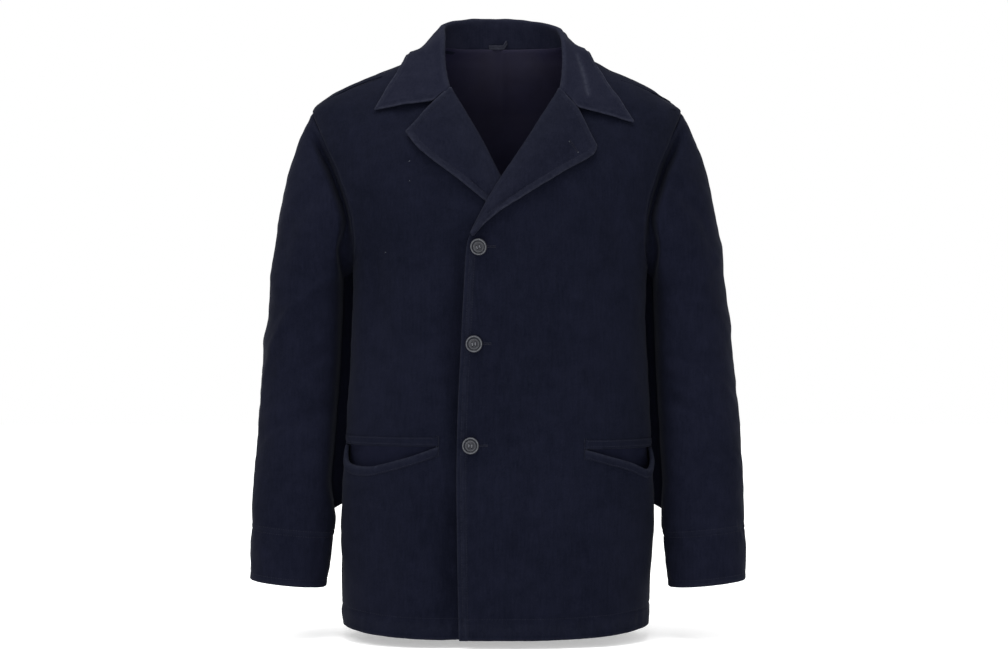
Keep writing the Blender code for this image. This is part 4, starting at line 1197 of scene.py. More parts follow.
def sleeve_grid(side):
    """Outer points of a sleeve from the cuff up, and their turn round it."""
    turns = 2 * np.pi * np.arange(SLEEVE_COLUMNS) / SLEEVE_COLUMNS
    z = mesh_rows((CUFF_Z, CUFF_Z + CUFF_TURN + 0.012, SLEEVE[0].z), (34, 92))[:-1]
    low = sleeve_point(side, np.broadcast_to(z[:, None], (len(z), len(turns))), turns[None])
    low[..., 2] += CUFF_SLOPE * smooth_step(-0.60, CUFF_Z, z)[:, None] * np.cos(turns)[None]
    shares = 1 - (np.arange(CAP_ROWS + 1) / CAP_ROWS) ** 0.9
    cap = [cap_point(side, turns, share) for share in shares]
    grid = np.concatenate([beside_body(side, turns[None], low), cap])
    order = -1 if side == LEFT else 1
    return grid[:, ::order], np.broadcast_to(turns[::order], grid.shape[:2]), len(z)


def make_sleeve(side):
    grid, turn, cap_row = sleeve_grid(side)
    z = grid[..., 2]
    around = turn * SLEEVE_RADIUS
    to_seam = np.linalg.norm(grid - grid[-1:], axis=-1)
    height = np.zeros(z.shape)
    for crease in SLEEVE_CREASES[side]:
        aside = np.angle(np.exp(1j * (turn - crease.turn))) * SLEEVE_RADIUS
        up = z - crease.z
        length = aside * math.cos(crease.slant) + up * math.sin(crease.slant)
        across = -aside * math.sin(crease.slant) + up * math.cos(crease.slant)
        bowed = bell(length, crease.reach) * bell(across + length**2 * 3.0, crease.width)
        height += FOLD_STRENGTH * crease.depth * bowed
    height *= smooth_step(0.0, 0.03, to_seam)
    swell = 0.0010 * waves(around, z * 0.6, 0.080, 81 + side)
    swell += 0.0004 * waves(around, z, 0.030, 83 + side)
    height += swell * smooth_step(0.0, 0.02, to_seam) + seam_dip(to_seam, 0.0008, 0.003)
    cuff = z - CUFF_Z - CUFF_SLOPE * np.cos(turn)
    pucker = waves(around, around * 0, 0.016, 85 + side, 9)
    height += ridges(cuff, CUFF_RIDGES) + 0.0006 * pucker * bell(cuff - CUFF_TURN * 0.9, 0.022)
    on_cap = np.arange(len(grid))[:, None] > cap_row
    worn = ridges(cuff, CUFF_WEAR) + 0.14 * bell(to_seam - 0.0035, 0.003) * on_cap
    bent = displaced(grid, height, ring=True)
    inner = ((np.cos(turn) < 0.4) & (to_seam > 0.004))[..., None]
    bent = np.where(inner, clear_of_form(bent, 0.0006), bent)
    grid = pressed(side, turn, bent, to_seam)
    valley = smooth_step(-0.30, 0.25, np.sin(turn)) * window(z, VALLEY_Z)
    grid[..., 1] += VALLEY_DEPTH * valley * bell(to_seam - 0.0095, 0.0075)
    cloth(
        "sleeve_" + WORDS[side], grid, SHELL, "outer_cloth", SLEEVES, "hung",
        ["back", "front_" + WORDS[side]], ring=True, worn=np.clip(worn, 0, 1),
    )
    return grid


BACK_GRID = make_back()
make_lining()
SLEEVE_GRIDS = {side: make_sleeve(side) for side in BOTH}

# --- lapels --------------------------------------------------------------------------------

LAPEL_ROWS = 110
LAPEL_COLUMNS = 46
ROLL_COLUMNS = 10
ROLL_RADIUS = 0.0021
TURNED_STITCH = 0.0075
# Relief in from the edges of the collar and the lapels, and their pale edges from rubbing and painted
# highlight.
TURNED_RIDGES = table(Ridge, (0.0008, 0.003, 0.003), (-0.0007, TURNED_STITCH, 0.002))
TURNED_WEAR_AND_HIGHLIGHT = table(Ridge, (0.50, 0.0, 0.0014), (0.14, 0.0035, 0.0035))


def lapel_grid(side):
    """Inner points of a lapel: rows from the break up, columns from the roll outwards."""
    heights = np.linspace(BREAK_Z, GORGE_START[side].z, 60)
    roll = np.stack([curve(FRONT_EDGE[side], heights, "z", "x"), heights], -1)
    edge = smoothed(LAPEL_EDGE[side], 80)
    top = np.array([GORGE_START[side], NOTCH[side], tuple(edge[-1])])
    up = np.linspace(LAPEL_START[side], LAPEL_STOP, LAPEL_ROWS)[:, None]
    across = np.linspace(0, 1, LAPEL_COLUMNS)
    start, stop = along(roll, up[:, 0]), along(edge, up[:, 0])
    bend = along(top, across) - (roll[-1] + (edge[-1] - roll[-1]) * across[:, None])
    plan = start[:, None] + (stop - start)[:, None] * across[None, :, None]
    plan = plan + bend[None] * (up**3)[:, None]
    plan[..., 0] += side * 0.0006 * (1 - across)
    rise = 0.0010 + 0.0034 * np.sin(np.pi * np.minimum(across * 1.25, 1.0)) + 0.0042 * across
    if side == RIGHT:
        rise = rise * (0.45 + 0.55 * smooth_step(0.15, 0.6, up))
    rise = rise + 0.0020 * bell(across, 0.10) * smooth_step(0.0, 0.25, up)
    point = front_point(plan[..., 0], plan[..., 1], rise + 0.0004)
    if side == RIGHT:
        point[..., 1] += under_drop(point[..., 0], plan[..., 1])
    return point


def rolled(grid):
    """Adds the round of the roll, from the front's edge out and over to the lapel."""
    first = grid[:, 0]
    outward = unit(grid[:, 1] - first)
    normal, _ = form_normal(first)
    centre = first - normal * ROLL_RADIUS
    turns = np.linspace(math.pi * 0.92, 0.0, ROLL_COLUMNS, endpoint=False)
    arc = [
        centre + (normal * math.cos(turn) - outward * 1.6 * math.sin(turn)) * ROLL_RADIUS
        for turn in turns
    ]
    return np.concatenate([np.stack(arc, 1), grid], axis=1)


def make_lapel(side):
    grid = rolled(lapel_grid(side))
    from_roll = edge_distance(grid)
    nearest = np.minimum(edge_distance(grid, from_end=True), end_distance(grid, from_end=True))
    x, z = grid[..., 0], grid[..., 2]
    height = 0.0006 * waves(x, z, 0.050, 91 + side) + 0.00025 * waves(x, z, 0.018, 93 + side)
    pucker = waves(z + x, z * 0, 0.012, 95 + side) * bell(nearest - 0.005, 0.005)
    height += ridges(nearest, TURNED_RIDGES) + 0.00030 * pucker
    height *= smooth_step(0.0, 0.012, from_roll)
    worn = ridges(nearest, TURNED_WEAR_AND_HIGHLIGHT) + 0.10 * smooth_step(0.05, 0.0, from_roll)
    if side == RIGHT:
        grid, height, worn = grid[:, ::-1], height[:, ::-1], worn[:, ::-1]
    grid = displaced(grid, height)
    name, rests_on = "lapel_" + WORDS[side], ["front_" + WORDS[side]]
    cloth(
        name, grid, LAPEL_WALL, "outer_cloth", LAPELS_PAINTED_LIT, "folded", rests_on,
        inward=False, round_rim=0.6, worn=np.clip(worn, 0, 1),
    )
    return grid


LAPEL_GRIDS = {side: make_lapel(side) for side in BOTH}

# --- collar --------------------------------------------------------------------------------

COLLAR_BACK_STATIONS = 60
COLLAR_FRONT_STATIONS = 46
COLLAR_POINTS = 52
COLLAR_STEP = 0.0018
# Crease with a pale crest that runs down the wearer's left leaf.
COLLAR_RIDGE = ((0.1065, -0.0150), (0.1130, -0.0320), (0.1160, -0.0450), (0.1215, -0.0740))


def collar_back_station(side, at):
    """Neck seam, fold and outer edge of the collar behind the shoulder."""
    stand, edge_at, edge_z = (
        float(curve(COLLAR, at, "around", name)) for name in ("stand", "edge_around", "edge_z")
    )
    angle = side * math.radians(at)
    tilt = math.sin(angle) ** 2
    neck = polar_point(SEAM_GAP, angle)
    fold = polar_point(stand - COLLAR_TILT[side] * tilt, angle)
    edge = polar_point(edge_z + COLLAR_EDGE_TUCK[side] * tilt, side * math.radians(edge_at))
    return neck, fold, edge


def collar_front_station(side, share):
    """Neck seam, fold and outer edge in front of the shoulder; share 1 is the gorge."""
    keep = 1 - share
    z = COLLAR_START_Z + (GORGE_START[side].z - COLLAR_START_Z) * share
    x = curve(FRONT_EDGE[side], z, "z", "x")
    neck = front_point(x - side * (0.0019 + 0.0017 * keep), z)
    rise = (COLLAR_SIDE_RISE - COLLAR_TILT[side]) * keep**1.2
    fold = neck + [-side * (0.0045 * keep + 0.0008), -0.0045 * share, rise]
    side_angle = side * math.radians(COLLAR_SIDE_ANGLE)
    side_edge = polar_point(COLLAR_SIDE_Z + COLLAR_EDGE_TUCK[side], side_angle)
    tip = front_point(*LEAF_TIP[side])
    spot = along([side_edge, (side_edge + tip) / 2, tip], np.array([share**1.1]))[0]
    on_form = front_point(spot[0], spot[2])
    edge = side_edge + (on_form - side_edge) * smooth_step(0.0, 0.10, share)
    return neck, fold, edge


def collar_profile(side, neck, fold, edge, share):
    """Points across the collar: up the stand, round the fold and down the fall."""
    outward = np.array([*unit(fold[:2] - NECK_MIDDLE), 0.0]) * COLLAR_ROLL
    up = np.array([0.0, 0.0, 1.0]) * COLLAR_ROLL
    shoulder = fold + outward * 2.5 - up * 1.4
    points = [
        neck, neck + (fold - neck) * 0.55, fold - up * 0.8, fold + outward * 0.35 - up * 0.1,
        fold + outward * 1.7 - up * 0.3, shoulder,
    ]
    t = np.linspace(0.1, 1, 14)
    fall = shoulder + (edge - shoulder) * t[:, None]
    if share is not None:
        spot = along([GORGE_START[side], NOTCH[side], LEAF_TIP[side]], t)
        target = front_point(spot[:, 0], spot[:, 1] + 0.0006, np.full(len(t), 0.0040))
        fall = fall + (target - fall) * share**3
    ridge = 1 - smooth_step(0.010, 0.050, np.abs(fall[:, 1]))
    lift = COLLAR_LIFT + COLLAR_SWELL * np.sin(np.pi * t) + COLLAR_RIDGE_LIFT * ridge
    return smoothed([*points, *clear_of_form(fall, lift)], COLLAR_POINTS)


def collar_grid():
    """Middle of the collar's cloth: rows round the neck, columns from its seam outwards."""
    halves = {}
    for side in BOTH:
        half = [
            collar_profile(side, *collar_back_station(side, at), None)
            for at in np.linspace(180.0, 92.0, COLLAR_BACK_STATIONS)
        ]
        half += [
            collar_profile(side, *collar_front_station(side, share), share)
            for share in np.linspace(0, COLLAR_STOP, COLLAR_FRONT_STATIONS + 1)[1:]
        ]
        halves[side] = np.array(half)
    return np.concatenate([halves[RIGHT][::-1], halves[LEFT][1:]])


def make_collar():
    grid = collar_grid()
    for _ in range(3):
        grid[1:-1] = (grid[:-2] + 2 * grid[1:-1] + grid[2:]) / 4
    ends = np.minimum(end_distance(grid), end_distance(grid, from_end=True))
    nearest = np.minimum(edge_distance(grid, from_end=True), ends)
    fall = smooth_step(0.012, 0.020, edge_distance(grid) - 0.02)
    x, y, z = np.moveaxis(grid, -1, 0)
    height = 0.0007 * waves(x, z, 0.055, 101) + 0.0003 * waves(x, z, 0.018, 102)
    pucker = waves(x, z, 0.012, 103) * bell(nearest - 0.005, 0.005)
    height = (height + ridges(nearest, TURNED_RIDGES) + 0.0003 * pucker) * fall
    fold = np.argmax(z, axis=1)[:, None]
    to_fold = np.abs(np.arange(grid.shape[1]) - fold) * COLLAR_STEP
    worn = np.maximum(ridges(nearest, TURNED_WEAR_AND_HIGHLIGHT) * fall, 0.30 * bell(to_fold, 0.005))
    to_ridge, _ = distance_to(x, z, smoothed(COLLAR_RIDGE, 40))
    ridge = bell(to_ridge, 0.0030) * (y < 0.02) * fall
    height += 0.0016 * ridge
    worn = np.maximum(worn, 0.75 * ridge)
    grid = displaced(grid, height - COLLAR_WALL / 2)
    cloth(
        "collar", grid, COLLAR_WALL, "collar_cloth", TURNED_PAINTED_LIT, "folded",
        ["back", "front_left", "front_right"],
        inward=False, round_rim=0.6, worn=np.clip(worn, 0, 1),
    )
    return grid


COLLAR_GRID = make_collar()

# --- pockets -------------------------------------------------------------------------------

WELT_ROWS = 8
BAND_ROWS = 7
BAND_WALL = TRIM_WALL * 0.75
BAG_COUNT = 44
TRIM_LIFT = SEAM_GAP + 0.0001
BagLevel = namedtuple("BagLevel", "drop swell")
POCKET_BAG = table(
    BagLevel,
    (-POCKET_BAND, 0.1), (0.0, 0.55), (0.02, 0.85), (0.057, 1.0), (0.095, 0.75), (0.139, 0.06),
)


def make_pocket_part(kind, side, grid, wall, material, held, **form):
    name = "pocket_%s_%s" % (kind, WORDS[side])
    rests_on = ["front_" + WORDS[side]]
    cloth(name, grid, wall, "pocket_cloth", material, held, rests_on, **form)
    return grid


def make_welt(side):
    """Welt of the pocket's lower lip, folded over its edge."""
    grid, lip, first, last = FRONTS[side]
    part = grid[lip - WELT_ROWS : lip + 1, first : last + 1]
    share = np.linspace(0, 1, WELT_ROWS + 1)[:, None]
    x = part[..., 0]
    swell = 0.0007 * np.sin(np.pi * share) + 0.00035 * waves(x, x * 0, 0.014, 111 + side)
    top, normal, up = part[-1], grid_normals(part)[-1], unit(part[-1] - part[-2])
    fold = np.stack([top + up * 0.0005 - normal * 0.0006, top + up * 0.0006 - normal * 0.0034])
    grid = np.concatenate([displaced(part, TRIM_LIFT + np.maximum(swell, 0)), fold])
    worn = np.concatenate([0.04 + 0.36 * share**4, [[0.42], [0.15]]])
    form = {"inward": False, "round_rim": 0.6, "worn": worn}
    return make_pocket_part("welt", side, grid, TRIM_WALL, POCKETS, "folded", **form)


def make_band(side):
    """Stitched band over the opening."""
    grid, lip, first, last = FRONTS[side]
    part = grid[lip + 1 : lip + 2 + BAND_ROWS, first : last + 1]
    share = np.linspace(0, 1, BAND_ROWS + 1)[:, None]
    grid = displaced(part, TRIM_LIFT + 0.0004 * np.sin(np.pi * share))
    worn = 0.02 + 0.10 * (1 - share) ** 4 + 0.04 * share**6
    form = {"inward": False, "round_rim": 0.6, "worn": worn}
    return make_pocket_part("band", side, grid, BAND_WALL, OUTER, "folded", **form)


def make_bag(side):
    """Back layer of the pocket, behind the front."""
    drop = np.linspace(POCKET_BAG[-1].drop, -POCKET_BAND, BAG_COUNT)
    z = POCKET_Z[side] - drop
    shares = np.linspace(*pocket_limits(side), BAG_COUNT)
    start = front_angle(curve(FRONT_EDGE[side], z, "z", "x"), z)
    seam = side * 2 * SEAM_GAP / body(z, "half_width")
    cut = armhole_angle(z, side, True) - seam
    grid = panel(z, start, cut, side * math.pi / 2 - seam, shares)
    if side == RIGHT:
        grid[..., 1] += under_drop(grid[..., 0], z[:, None])
    swell = np.maximum(curve(POCKET_BAG, drop, "drop", "swell"), 0)[:, None]
    hollow = np.clip(np.sin(np.pi * np.linspace(0, 1, BAG_COUNT)), 0, 1) ** 0.7
    deep = SHELL + POCKET_BAG_CLEARANCE + POCKET_BAG_SWELL * swell * hollow
    grid = grid - level_normal(grid) * deep[..., None]
    if side == RIGHT:
        grid = grid[:, ::-1]
    ease = 2.5 + waves(grid[..., 0], grid[..., 2], 0.03, 121 + side)
    make_pocket_part("bag", side, displaced(grid, -0.0006 * ease), TRIM_WALL, BAGS_PAINTED_LIT, "hung")


WELTS = {side: make_welt(side) for side in BOTH}
BANDS = {side: make_band(side) for side in BOTH}
for pocket_side in BOTH:
    make_bag(pocket_side)

# --- hanger loop ---------------------------------------------------------------------------

LOOP_LOW_Z = LOOP_Z - 0.0012
LOOP_CROWN = 0.0004
LOOP_SAG = 0.0010
LOOP_END_RISE = 0.0066


def make_loop():
    t = np.linspace(0, 1, 40)
    x = LOOP_HALF_LENGTH * (2 * t - 1) - NECK_MIDDLE[0]
    rise = LOOP_END_RISE * smooth_step(0.74, 1.0, t) - LOOP_SAG * np.sin(np.pi * t)
    clearance = COLLAR_WALL / 2 + TRIM_WALL + SEAM_GAP + LOOP_BOW * np.sin(np.pi * t)
    rows = []
    for share in np.linspace(0, 1, 7):
        z = LOOP_LOW_Z + LOOP_WIDTH * share + rise
        row = polar_point(z, np.arctan2(x, -body(z * 0, "back")))
        row[:, 1] -= clearance - LOOP_CROWN * math.sin(math.pi * share)
        rows.append(row)
    piece = shell("hanger_loop_tape", np.array(rows), TRIM_WALL, worn=0.4, round_rim=0.7)
    trim(piece, "loop_tape", LOOP_TAPE, "hanger_loop")


make_loop()

# --- buttons -------------------------------------------------------------------------------

HOLE_RADIUS = 0.00125
HOLE_SPREAD = 0.00200
HOLE_SEGMENTS = 24
BUTTON_SEGMENTS = 72
BUTTON_GAP = 2 * SEAM_GAP + 0.0004
# How each button tips, leans and is turned, from the top down.
BUTTON_TURNS = ((0.30, -0.20, 0.4), (0.03, 0.02, 0.12), (-0.03, 0.03, -0.08))
# Half outline in radii and thicknesses: back, raised rim, groove and sunken middle.
BUTTON_OUTLINE = (
    (0.55, 0.00), (0.80, 0.02), (0.93, 0.16), (0.99, 0.36), (1.00, 0.55), (0.985, 0.76),
    (0.95, 0.92), (0.90, 0.99), (0.85, 1.00), (0.80, 0.97), (0.765, 0.90), (0.745, 0.78),
    (0.725, 0.66), (0.70, 0.61), (0.67, 0.62), (0.645, 0.70), (0.62, 0.77), (0.58, 0.79),
    (0.50, 0.76), (0.36, 0.70), (0.20, 0.67), (0.06, 0.66),
)
# Painted highlight rings on a button's face: how bright, at what share of its radius and how wide.
BUTTON_HIGHLIGHT_RINGS = table(Ridge, (0.95, 0.880, 0.050), (0.45, 0.575, 0.045))
THREAD_RADIUS = 0.00030
STRAND_STEP = 0.00036


def spots_of(grid):
    """Points of a grid and their normals, as two plain lists."""
    return grid.reshape(-1, 3), grid_normals(grid).reshape(-1, 3)


def nearest_spot(spots, x, z):
    """The point nearest a place in the front plane, and its normal."""
    points, normals = spots
    near = np.argmin(np.hypot(points[:, 0] - x, points[:, 2] - z))
    return points[near], normals[near]


def solid_of(name, points, faces):
    mesh = bpy.data.meshes.new(name)
    mesh.from_pydata([tuple(map(float, point)) for point in points], [], faces)
    return linked(name, mesh)


def button_blank(name):
    """Button without its holes."""
    count, segments = len(BUTTON_OUTLINE), BUTTON_SEGMENTS
    radii, heights = (np.array(BUTTON_OUTLINE) * [BUTTON_RADIUS, BUTTON_THICK]).T[..., None]
    turns = 2 * np.pi * np.arange(segments) / segments
    rings = np.stack([radii * np.cos(turns), radii * np.sin(turns), heights + 0 * turns], -1)
    top, last = count * segments, (count - 1) * segments
    faces = quads_of(count, segments, ring=True).tolist()
    pairs = [(k, (k + 1) % segments) for k in range(segments)]
    faces += [[top, b, a] for a, b in pairs]
    faces += [[top + 1, last + a, last + b] for a, b in pairs]
    centres = [[0, 0, 0], [0, 0, heights[-1, 0]]]
    return solid_of(name, np.concatenate([rings.reshape(-1, 3), centres]), faces)


def button_drill():
    """Four closed rods where the holes go."""
    turns = 2 * np.pi * np.arange(HOLE_SEGMENTS) / HOLE_SEGMENTS
    ring = HOLE_RADIUS * np.stack([np.cos(turns), np.sin(turns)], -1)
    points, faces = [], []
    for x, y in ((-1, -1), (-1, 1), (1, -1), (1, 1)):
        low = np.arange(HOLE_SEGMENTS) + len(points)
        high = low + HOLE_SEGMENTS
        sides = np.stack([low, np.roll(low, -1), np.roll(high, -1), high], -1)
        faces += [low[::-1].tolist(), high.tolist(), *sides.tolist()]
        for z in (-0.001, BUTTON_THICK * 1.2):
            points += [(a + x * HOLE_SPREAD, b + y * HOLE_SPREAD, z) for a, b in ring]
    return solid_of("drill", points, faces)


def make_disc(index, pose):
    disc, drill = button_blank("button_%d_disc" % index), button_drill()
    cut = disc.modifiers.new("holes", "BOOLEAN")
    cut.object = drill
    cut.operation = "DIFFERENCE"
    cut.solver = "EXACT"
    cut.use_self = False
    evaluated = disc.evaluated_get(bpy.context.evaluated_depsgraph_get())
    mesh = bpy.data.meshes.new_from_object(evaluated)
    disc.modifiers.clear()
    disc.data = mesh
    bpy.data.objects.remove(drill)
    mesh.shade_smooth()
    mesh.set_sharp_from_angle(angle=math.radians(38))
    x, y, z = np.array([vertex.co for vertex in mesh.vertices]).T
    # Painted highlight rings, on the top of the button only.
    worn = ridges(np.hypot(x, y) / BUTTON_RADIUS, BUTTON_HIGHLIGHT_RINGS)
    add_worn(mesh, np.clip(worn, 0, 1) * (z > BUTTON_THICK * 0.3))
    mesh.transform(pose)
    trim(disc, "button", BUTTON, "button_%d" % index)


def make_button(index, place):
    spot, normal = nearest_spot(FRONT_SPOTS, place.x, place.z)
    normal = Vector(normal)
    tip, lean, turn = BUTTON_TURNS[index - 1]
    seat = Vector((place.x, spot[1], place.z)) + normal * BUTTON_GAP
    pose = Matrix.Translation(seat) @ normal.to_track_quat("Z", "Y").to_matrix().to_4x4()
    for angle, axis in ((tip, "X"), (lean, "Y"), (turn, "Z")):
        pose = pose @ Matrix.Rotation(angle, 4, axis)
    lift = BUTTON_RADIUS * math.sin(math.hypot(tip, lean)) * 0.8
    pose = Matrix.Translation(normal * lift) @ pose
    make_disc(index, pose)
    parts = []
    for x in (-1, 1):
        for strand in (-1, 0, 1):
            line = []
            for t in np.linspace(-1, 1, 13):
                z = BUTTON_THICK * 0.66 + 0.0009 * (1 - t**4) - (0.0030 if abs(t) > 0.99 else 0.0)
                aside = x * HOLE_SPREAD + strand * STRAND_STEP
                line.append(pose @ Vector((aside, t * HOLE_SPREAD * 1.25, z)))
            parts.append(tube(line, np.array([normal] * len(line)), THREAD_RADIUS))
    trim(joined("button_%d_thread" % index, parts), "button", BUTTON_THREAD)


FRONT_SPOTS = spots_of(FRONT_GRIDS[LEFT])
for number, button_place in enumerate(BUTTONS, 1):
    make_button(number, button_place)

# --- shoulder seams ------------------------------------------------------------------------

SEAM_CORD = 0.0010
SHOULDER_SEAM = {
    RIGHT: ((-0.1604, -0.0450), (-0.1850, -0.0530), (-0.2100, -0.0635), (-0.2440, -0.0810)),
    LEFT: ((0.1675, -0.0505), (0.1920, -0.0590), (0.2150, -0.0685), (0.2380, -0.0800)),
}


def make_shoulder_seams():
    """Low cord of the turned seam allowance that shows in front of each shoulder."""
    for side, line in SHOULDER_SEAM.items():
        x, z = smoothed(line, 60).T
        spots = front_point(x, z, 0.0002 + 0 * x)
        ups, _ = form_normal(spots)
        piece = joined("shoulder_seam_" + WORDS[side], [tube(spots, ups, SEAM_CORD)])
        trim(piece, "outer_cloth", OUTER)


# --- stitches and buttonholes --------------------------------------------------------------

CUFF_STITCHES = (0.0085, CUFF_TURN, CUFF_TURN + 0.0075)
HEM_ROWS = 60
PURL_STEP = 0.00062
PURL_PITCH = 0.0030
TACK_SHIFT = 0.35
# Middle of a front buttonhole from its button; place and turn of the lapel's buttonhole.
HOLE_SHIFT = (0.0120, 0.0004)
LAPEL_HOLE = ((0.1005, -0.1490), -0.98)


def column_at(grid, distance, from_end):
    """Fractional column of each row at a distance from its start or end."""
    order = -1 if from_end else 1
    columns = np.arange(grid.shape[1])[::order]
    lengths = edge_distance(grid, from_end)[:, ::order]
    return np.array([np.interp(distance, row, columns) for row in lengths])


def inset_line(grid, distance, from_end, rows):
    """Line down the rows of a grid at a distance from their start or end."""
    return sampled(grid, rows.astype(float), column_at(grid, distance, from_end)[rows])


def cross_line(grid, distance, from_end=False, columns=None):
    """Line across the columns of a grid at a distance from their start or end."""
    columns = np.arange(grid.shape[1]) if columns is None else columns
    rows = column_at(np.swapaxes(grid, 0, 1), distance, from_end)[columns]
    return sampled(grid, rows, columns.astype(float))


def make_front_stitches():
    lines = []
    for side in BOTH:
        grid = FRONT_GRIDS[side]
        rows = np.flatnonzero(grid[:, -1 if side == RIGHT else 0, 2] < BREAK_Z - 0.006)
        for distance in (EDGE_STITCH, SECOND_STITCH):
            lines.append(inset_line(grid, distance, side == RIGHT, rows[rows > 2]))
        lines.append(cross_line(grid[:HEM_ROWS], HEM_TURN))
    lines.append(cross_line(BACK_GRID[:HEM_ROWS], HEM_TURN))
    stitch_rows("front_and_hem_stitches", lines, "outer_cloth", THREAD)


def make_sleeve_stitches():
    cuffs = [closed(SLEEVE_GRIDS[side])[:HEM_ROWS] for side in BOTH]
    lines = [cross_line(cuff, rise) for cuff in cuffs for rise in CUFF_STITCHES]
    stitch_rows("cuff_stitches", lines, "outer_cloth", THREAD)


def make_lapel_stitches():
    lines = []
    for side in BOTH:
        grid = outer_of(LAPEL_GRIDS[side], LAPEL_WALL)
        count, width = grid.shape[:2]
        lines.append(inset_line(grid, TURNED_STITCH, side == LEFT, np.arange(6, count - 4)))
        columns = np.arange(ROLL_COLUMNS + 6, width - 5)
        columns = columns if side == LEFT else width - 1 - columns
        lines.append(cross_line(grid, TURNED_STITCH, True, columns))
    grid = outer_of(COLLAR_GRID, COLLAR_WALL)
    count, width = grid.shape[:2]
    lines.append(inset_line(grid, TURNED_STITCH, True, np.arange(8, count - 8)))
    for from_end in (False, True):
        lines.append(cross_line(grid, TURNED_STITCH, from_end, np.arange(18, width - 6)))
    stitch_rows("collar_and_lapel_stitches", lines, "collar_cloth", THREAD)


def make_pocket_stitches():
    lines, tacks = [], []
    for side in BOTH:
        band, welt = outer_of(BANDS[side], BAND_WALL), outer_of(WELTS[side], TRIM_WALL)
        columns = np.arange(1.0, band.shape[1] - 1)
        for grid, row in ((band, 1.6), (band, BAND_ROWS - 0.9), (welt, 1.0)):
            lines.append(sampled(grid, np.full(len(columns), row), columns))
        grid, lip, first, last = FRONTS[side]
        rows = np.linspace(lip - WELT_ROWS - 1, lip + BAND_ROWS + 2, 22)
        for shift in (-TACK_SHIFT, TACK_SHIFT):
            columns = np.full(len(rows), (first if side == LEFT else last) + shift)
            line, normals = sampled(grid, rows, columns)
            tacks.append((line + normals * 0.0010, normals))
    stitch_rows("pocket_stitches", lines, "pocket_cloth", THREAD)
    sizes = {"length": 0.0014, "pitch": 0.0013, "radius": 0.00028}
    stitch_rows("pocket_tacks", tacks, "pocket_cloth", THREAD, **sizes)


def purl(spots, centre, turn, half_length, half_width, lift=0.0002):
    """Stitches all round a buttonhole: a line of short bars on both sides of its slit."""
    lines = []
    ahead = np.array([math.cos(turn), math.sin(turn)])
    across = np.array([-ahead[1], ahead[0]])
    for sign in (-1, 1):
        for s in np.linspace(-half_length, half_length, int(2 * half_length / PURL_STEP)):
            first, last = (
                np.array(centre) + ahead * s + across * sign * w for w in (0.0002, half_width)
            )
            spot, up = nearest_spot(spots, *first)
            slope = -up[[0, 2]] / up[1]
            points = []
            for end in (first, (first + last) / 2, last):
                y = spot[1] + slope @ (end - spot[[0, 2]])
                points.append(np.array([end[0], y, end[1]]) + up * lift)
            lines.append((np.array(points), np.array([up] * 3)))
    return lines


def make_buttonholes():
    lines = []
    for x, z in ((spot.x + HOLE_SHIFT[0], spot.z + HOLE_SHIFT[1]) for spot in BUTTONS):
        lines += purl(FRONT_SPOTS, (x, z), 0.0, 0.0105, 0.0016)
    sizes = {"length": 0.0016, "pitch": PURL_PITCH, "radius": 0.00022}
    stitch_rows("front_buttonholes", lines, "outer_cloth", PURL_THREAD, **sizes)
    lines = purl(LAPEL_SPOTS, *LAPEL_HOLE, 0.0095, 0.0013)
    sizes = {"length": 0.0013, "pitch": PURL_PITCH, "radius": 0.00020}
    stitch_rows("lapel_buttonhole", lines, "collar_cloth", PURL_THREAD, **sizes)


LAPEL_SPOTS = spots_of(outer_of(LAPEL_GRIDS[LEFT], LAPEL_WALL))
make_shoulder_seams()
make_front_stitches()
make_sleeve_stitches()
make_lapel_stitches()
make_pocket_stitches()
make_buttonholes()

# --- lint ----------------------------------------------------------------------------------

LINT_RADIUS = 0.00020
# Bits of lint: place in the front plane, turn and length, in metres.
Lint = namedtuple("Lint", "x z turn length")
FRONT_LINT = table(
    Lint, (-0.1207, -0.1688, 0.4, 0.0018), (-0.1207, -0.1930, 1.9, 0.0015),
    (-0.1530, -0.2911, 0.9, 0.0016),
)
LAPEL_LINT = table(Lint, (0.0957, -0.1426, 2.2, 0.0014), (0.1065, -0.1587, 0.3, 0.0017))


def make_lint():
    parts = []
    t = np.linspace(-0.5, 0.5, 7)[:, None]
    for spots, bits in ((spots_of(FRONT_GRIDS[RIGHT]), FRONT_LINT), (LAPEL_SPOTS, LAPEL_LINT)):
        for bit in bits:
            spot, up = nearest_spot(spots, bit.x, bit.z)
            ahead = np.array([math.cos(bit.turn), 0.0, math.sin(bit.turn)])
            line = spot + up * (0.0003 + 0.0004 * (0.25 - t**2)) + ahead * t * bit.length
            parts.append(tube(line, np.broadcast_to(up, line.shape), LINT_RADIUS))
    trim(joined("lint", parts), "outer_cloth", LINT)


make_lint()

# --- room, light and camera ----------------------------------------------------------------

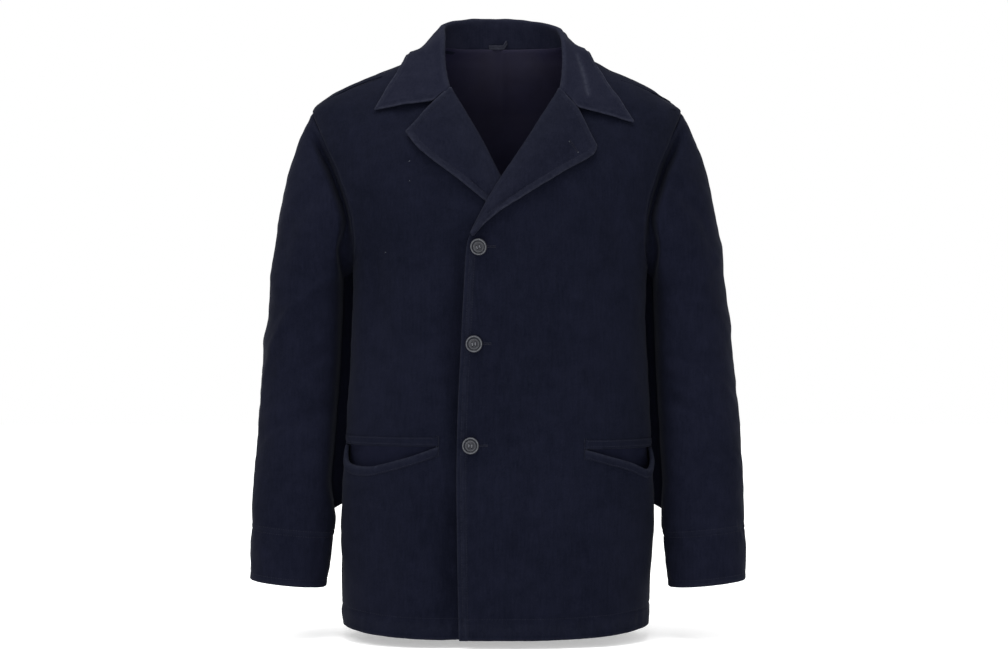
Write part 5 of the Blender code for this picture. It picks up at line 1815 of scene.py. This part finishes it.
FLOOR_Z = HEM_Z - 0.012
FLOOR_HALF = 7.0
FLOOR_TINT = 0.90
FLOOR_ROUGHNESS = 0.9
FLOOR_GLOW = 0.35
WHITE = (1.0, 1.0, 1.0, 1.0)
Light = namedtuple("Light", "name place target size power")
LIGHTS = table(
    Light,
    ("key", (-2.0, -1.7, 2.0), (0.0, 0.0, -0.2), 1.6, 34.0),
    ("low", (0.0, -1.5, -0.72), (0.0, 0.0, -0.75), 0.9, 12.0),
    ("top", (-0.1, -0.5, 2.0), (0.0, 0.0, -0.1), 1.4, 52.0),
)
CAMERA_PLACE = (0.007, -3.0, -0.404)
FOCAL_PIXELS = 2150.0
PHOTO_WIDTH = 1008.0
SENSOR = 36.0


def make_floor():
    half = FLOOR_HALF
    corners = [(x, y, FLOOR_Z) for x, y in ((-half, -half), (half, -half), (half, half), (-half, half))]
    piece = mesh_piece("floor", corners, [(0, 1, 2, 3)])
    nodes = Nodes("floor_paper")
    looks = {
        "Base Color": (FLOOR_TINT, FLOOR_TINT, FLOOR_TINT, 1.0),
        "Roughness": FLOOR_ROUGHNESS,
        "Emission Color": WHITE,
        "Emission Strength": FLOOR_GLOW,
    }
    for socket, value in looks.items():
        nodes.shader.inputs[socket].default_value = value
    piece.data.materials.append(nodes.material)


def make_lights():
    world = bpy.data.worlds.new("studio")
    bpy.context.scene.world = world
    world.use_nodes = True
    backdrop = world.node_tree.nodes["Background"]
    backdrop.inputs["Color"].default_value = WHITE
    backdrop.inputs["Strength"].default_value = 1.0
    for light in LIGHTS:
        data = bpy.data.lights.new(light.name, "AREA")
        data.shape = "DISK"
        data.size = light.size
        data.energy = light.power
        item = linked(light.name, data)
        item.location = light.place
        aim = Vector(light.target) - Vector(light.place)
        item.rotation_euler = aim.to_track_quat("-Z", "Y").to_euler()


def make_camera():
    data = bpy.data.cameras.new("camera")
    data.sensor_width = SENSOR
    data.lens = FOCAL_PIXELS / PHOTO_WIDTH * SENSOR
    item = linked("camera", data)
    item.location = CAMERA_PLACE
    item.rotation_euler = (math.pi / 2, 0.0, 0.0)
    bpy.context.scene.camera = item


make_floor()
make_lights()
make_camera()
bpy.context.scene.view_settings.view_transform = "Standard"
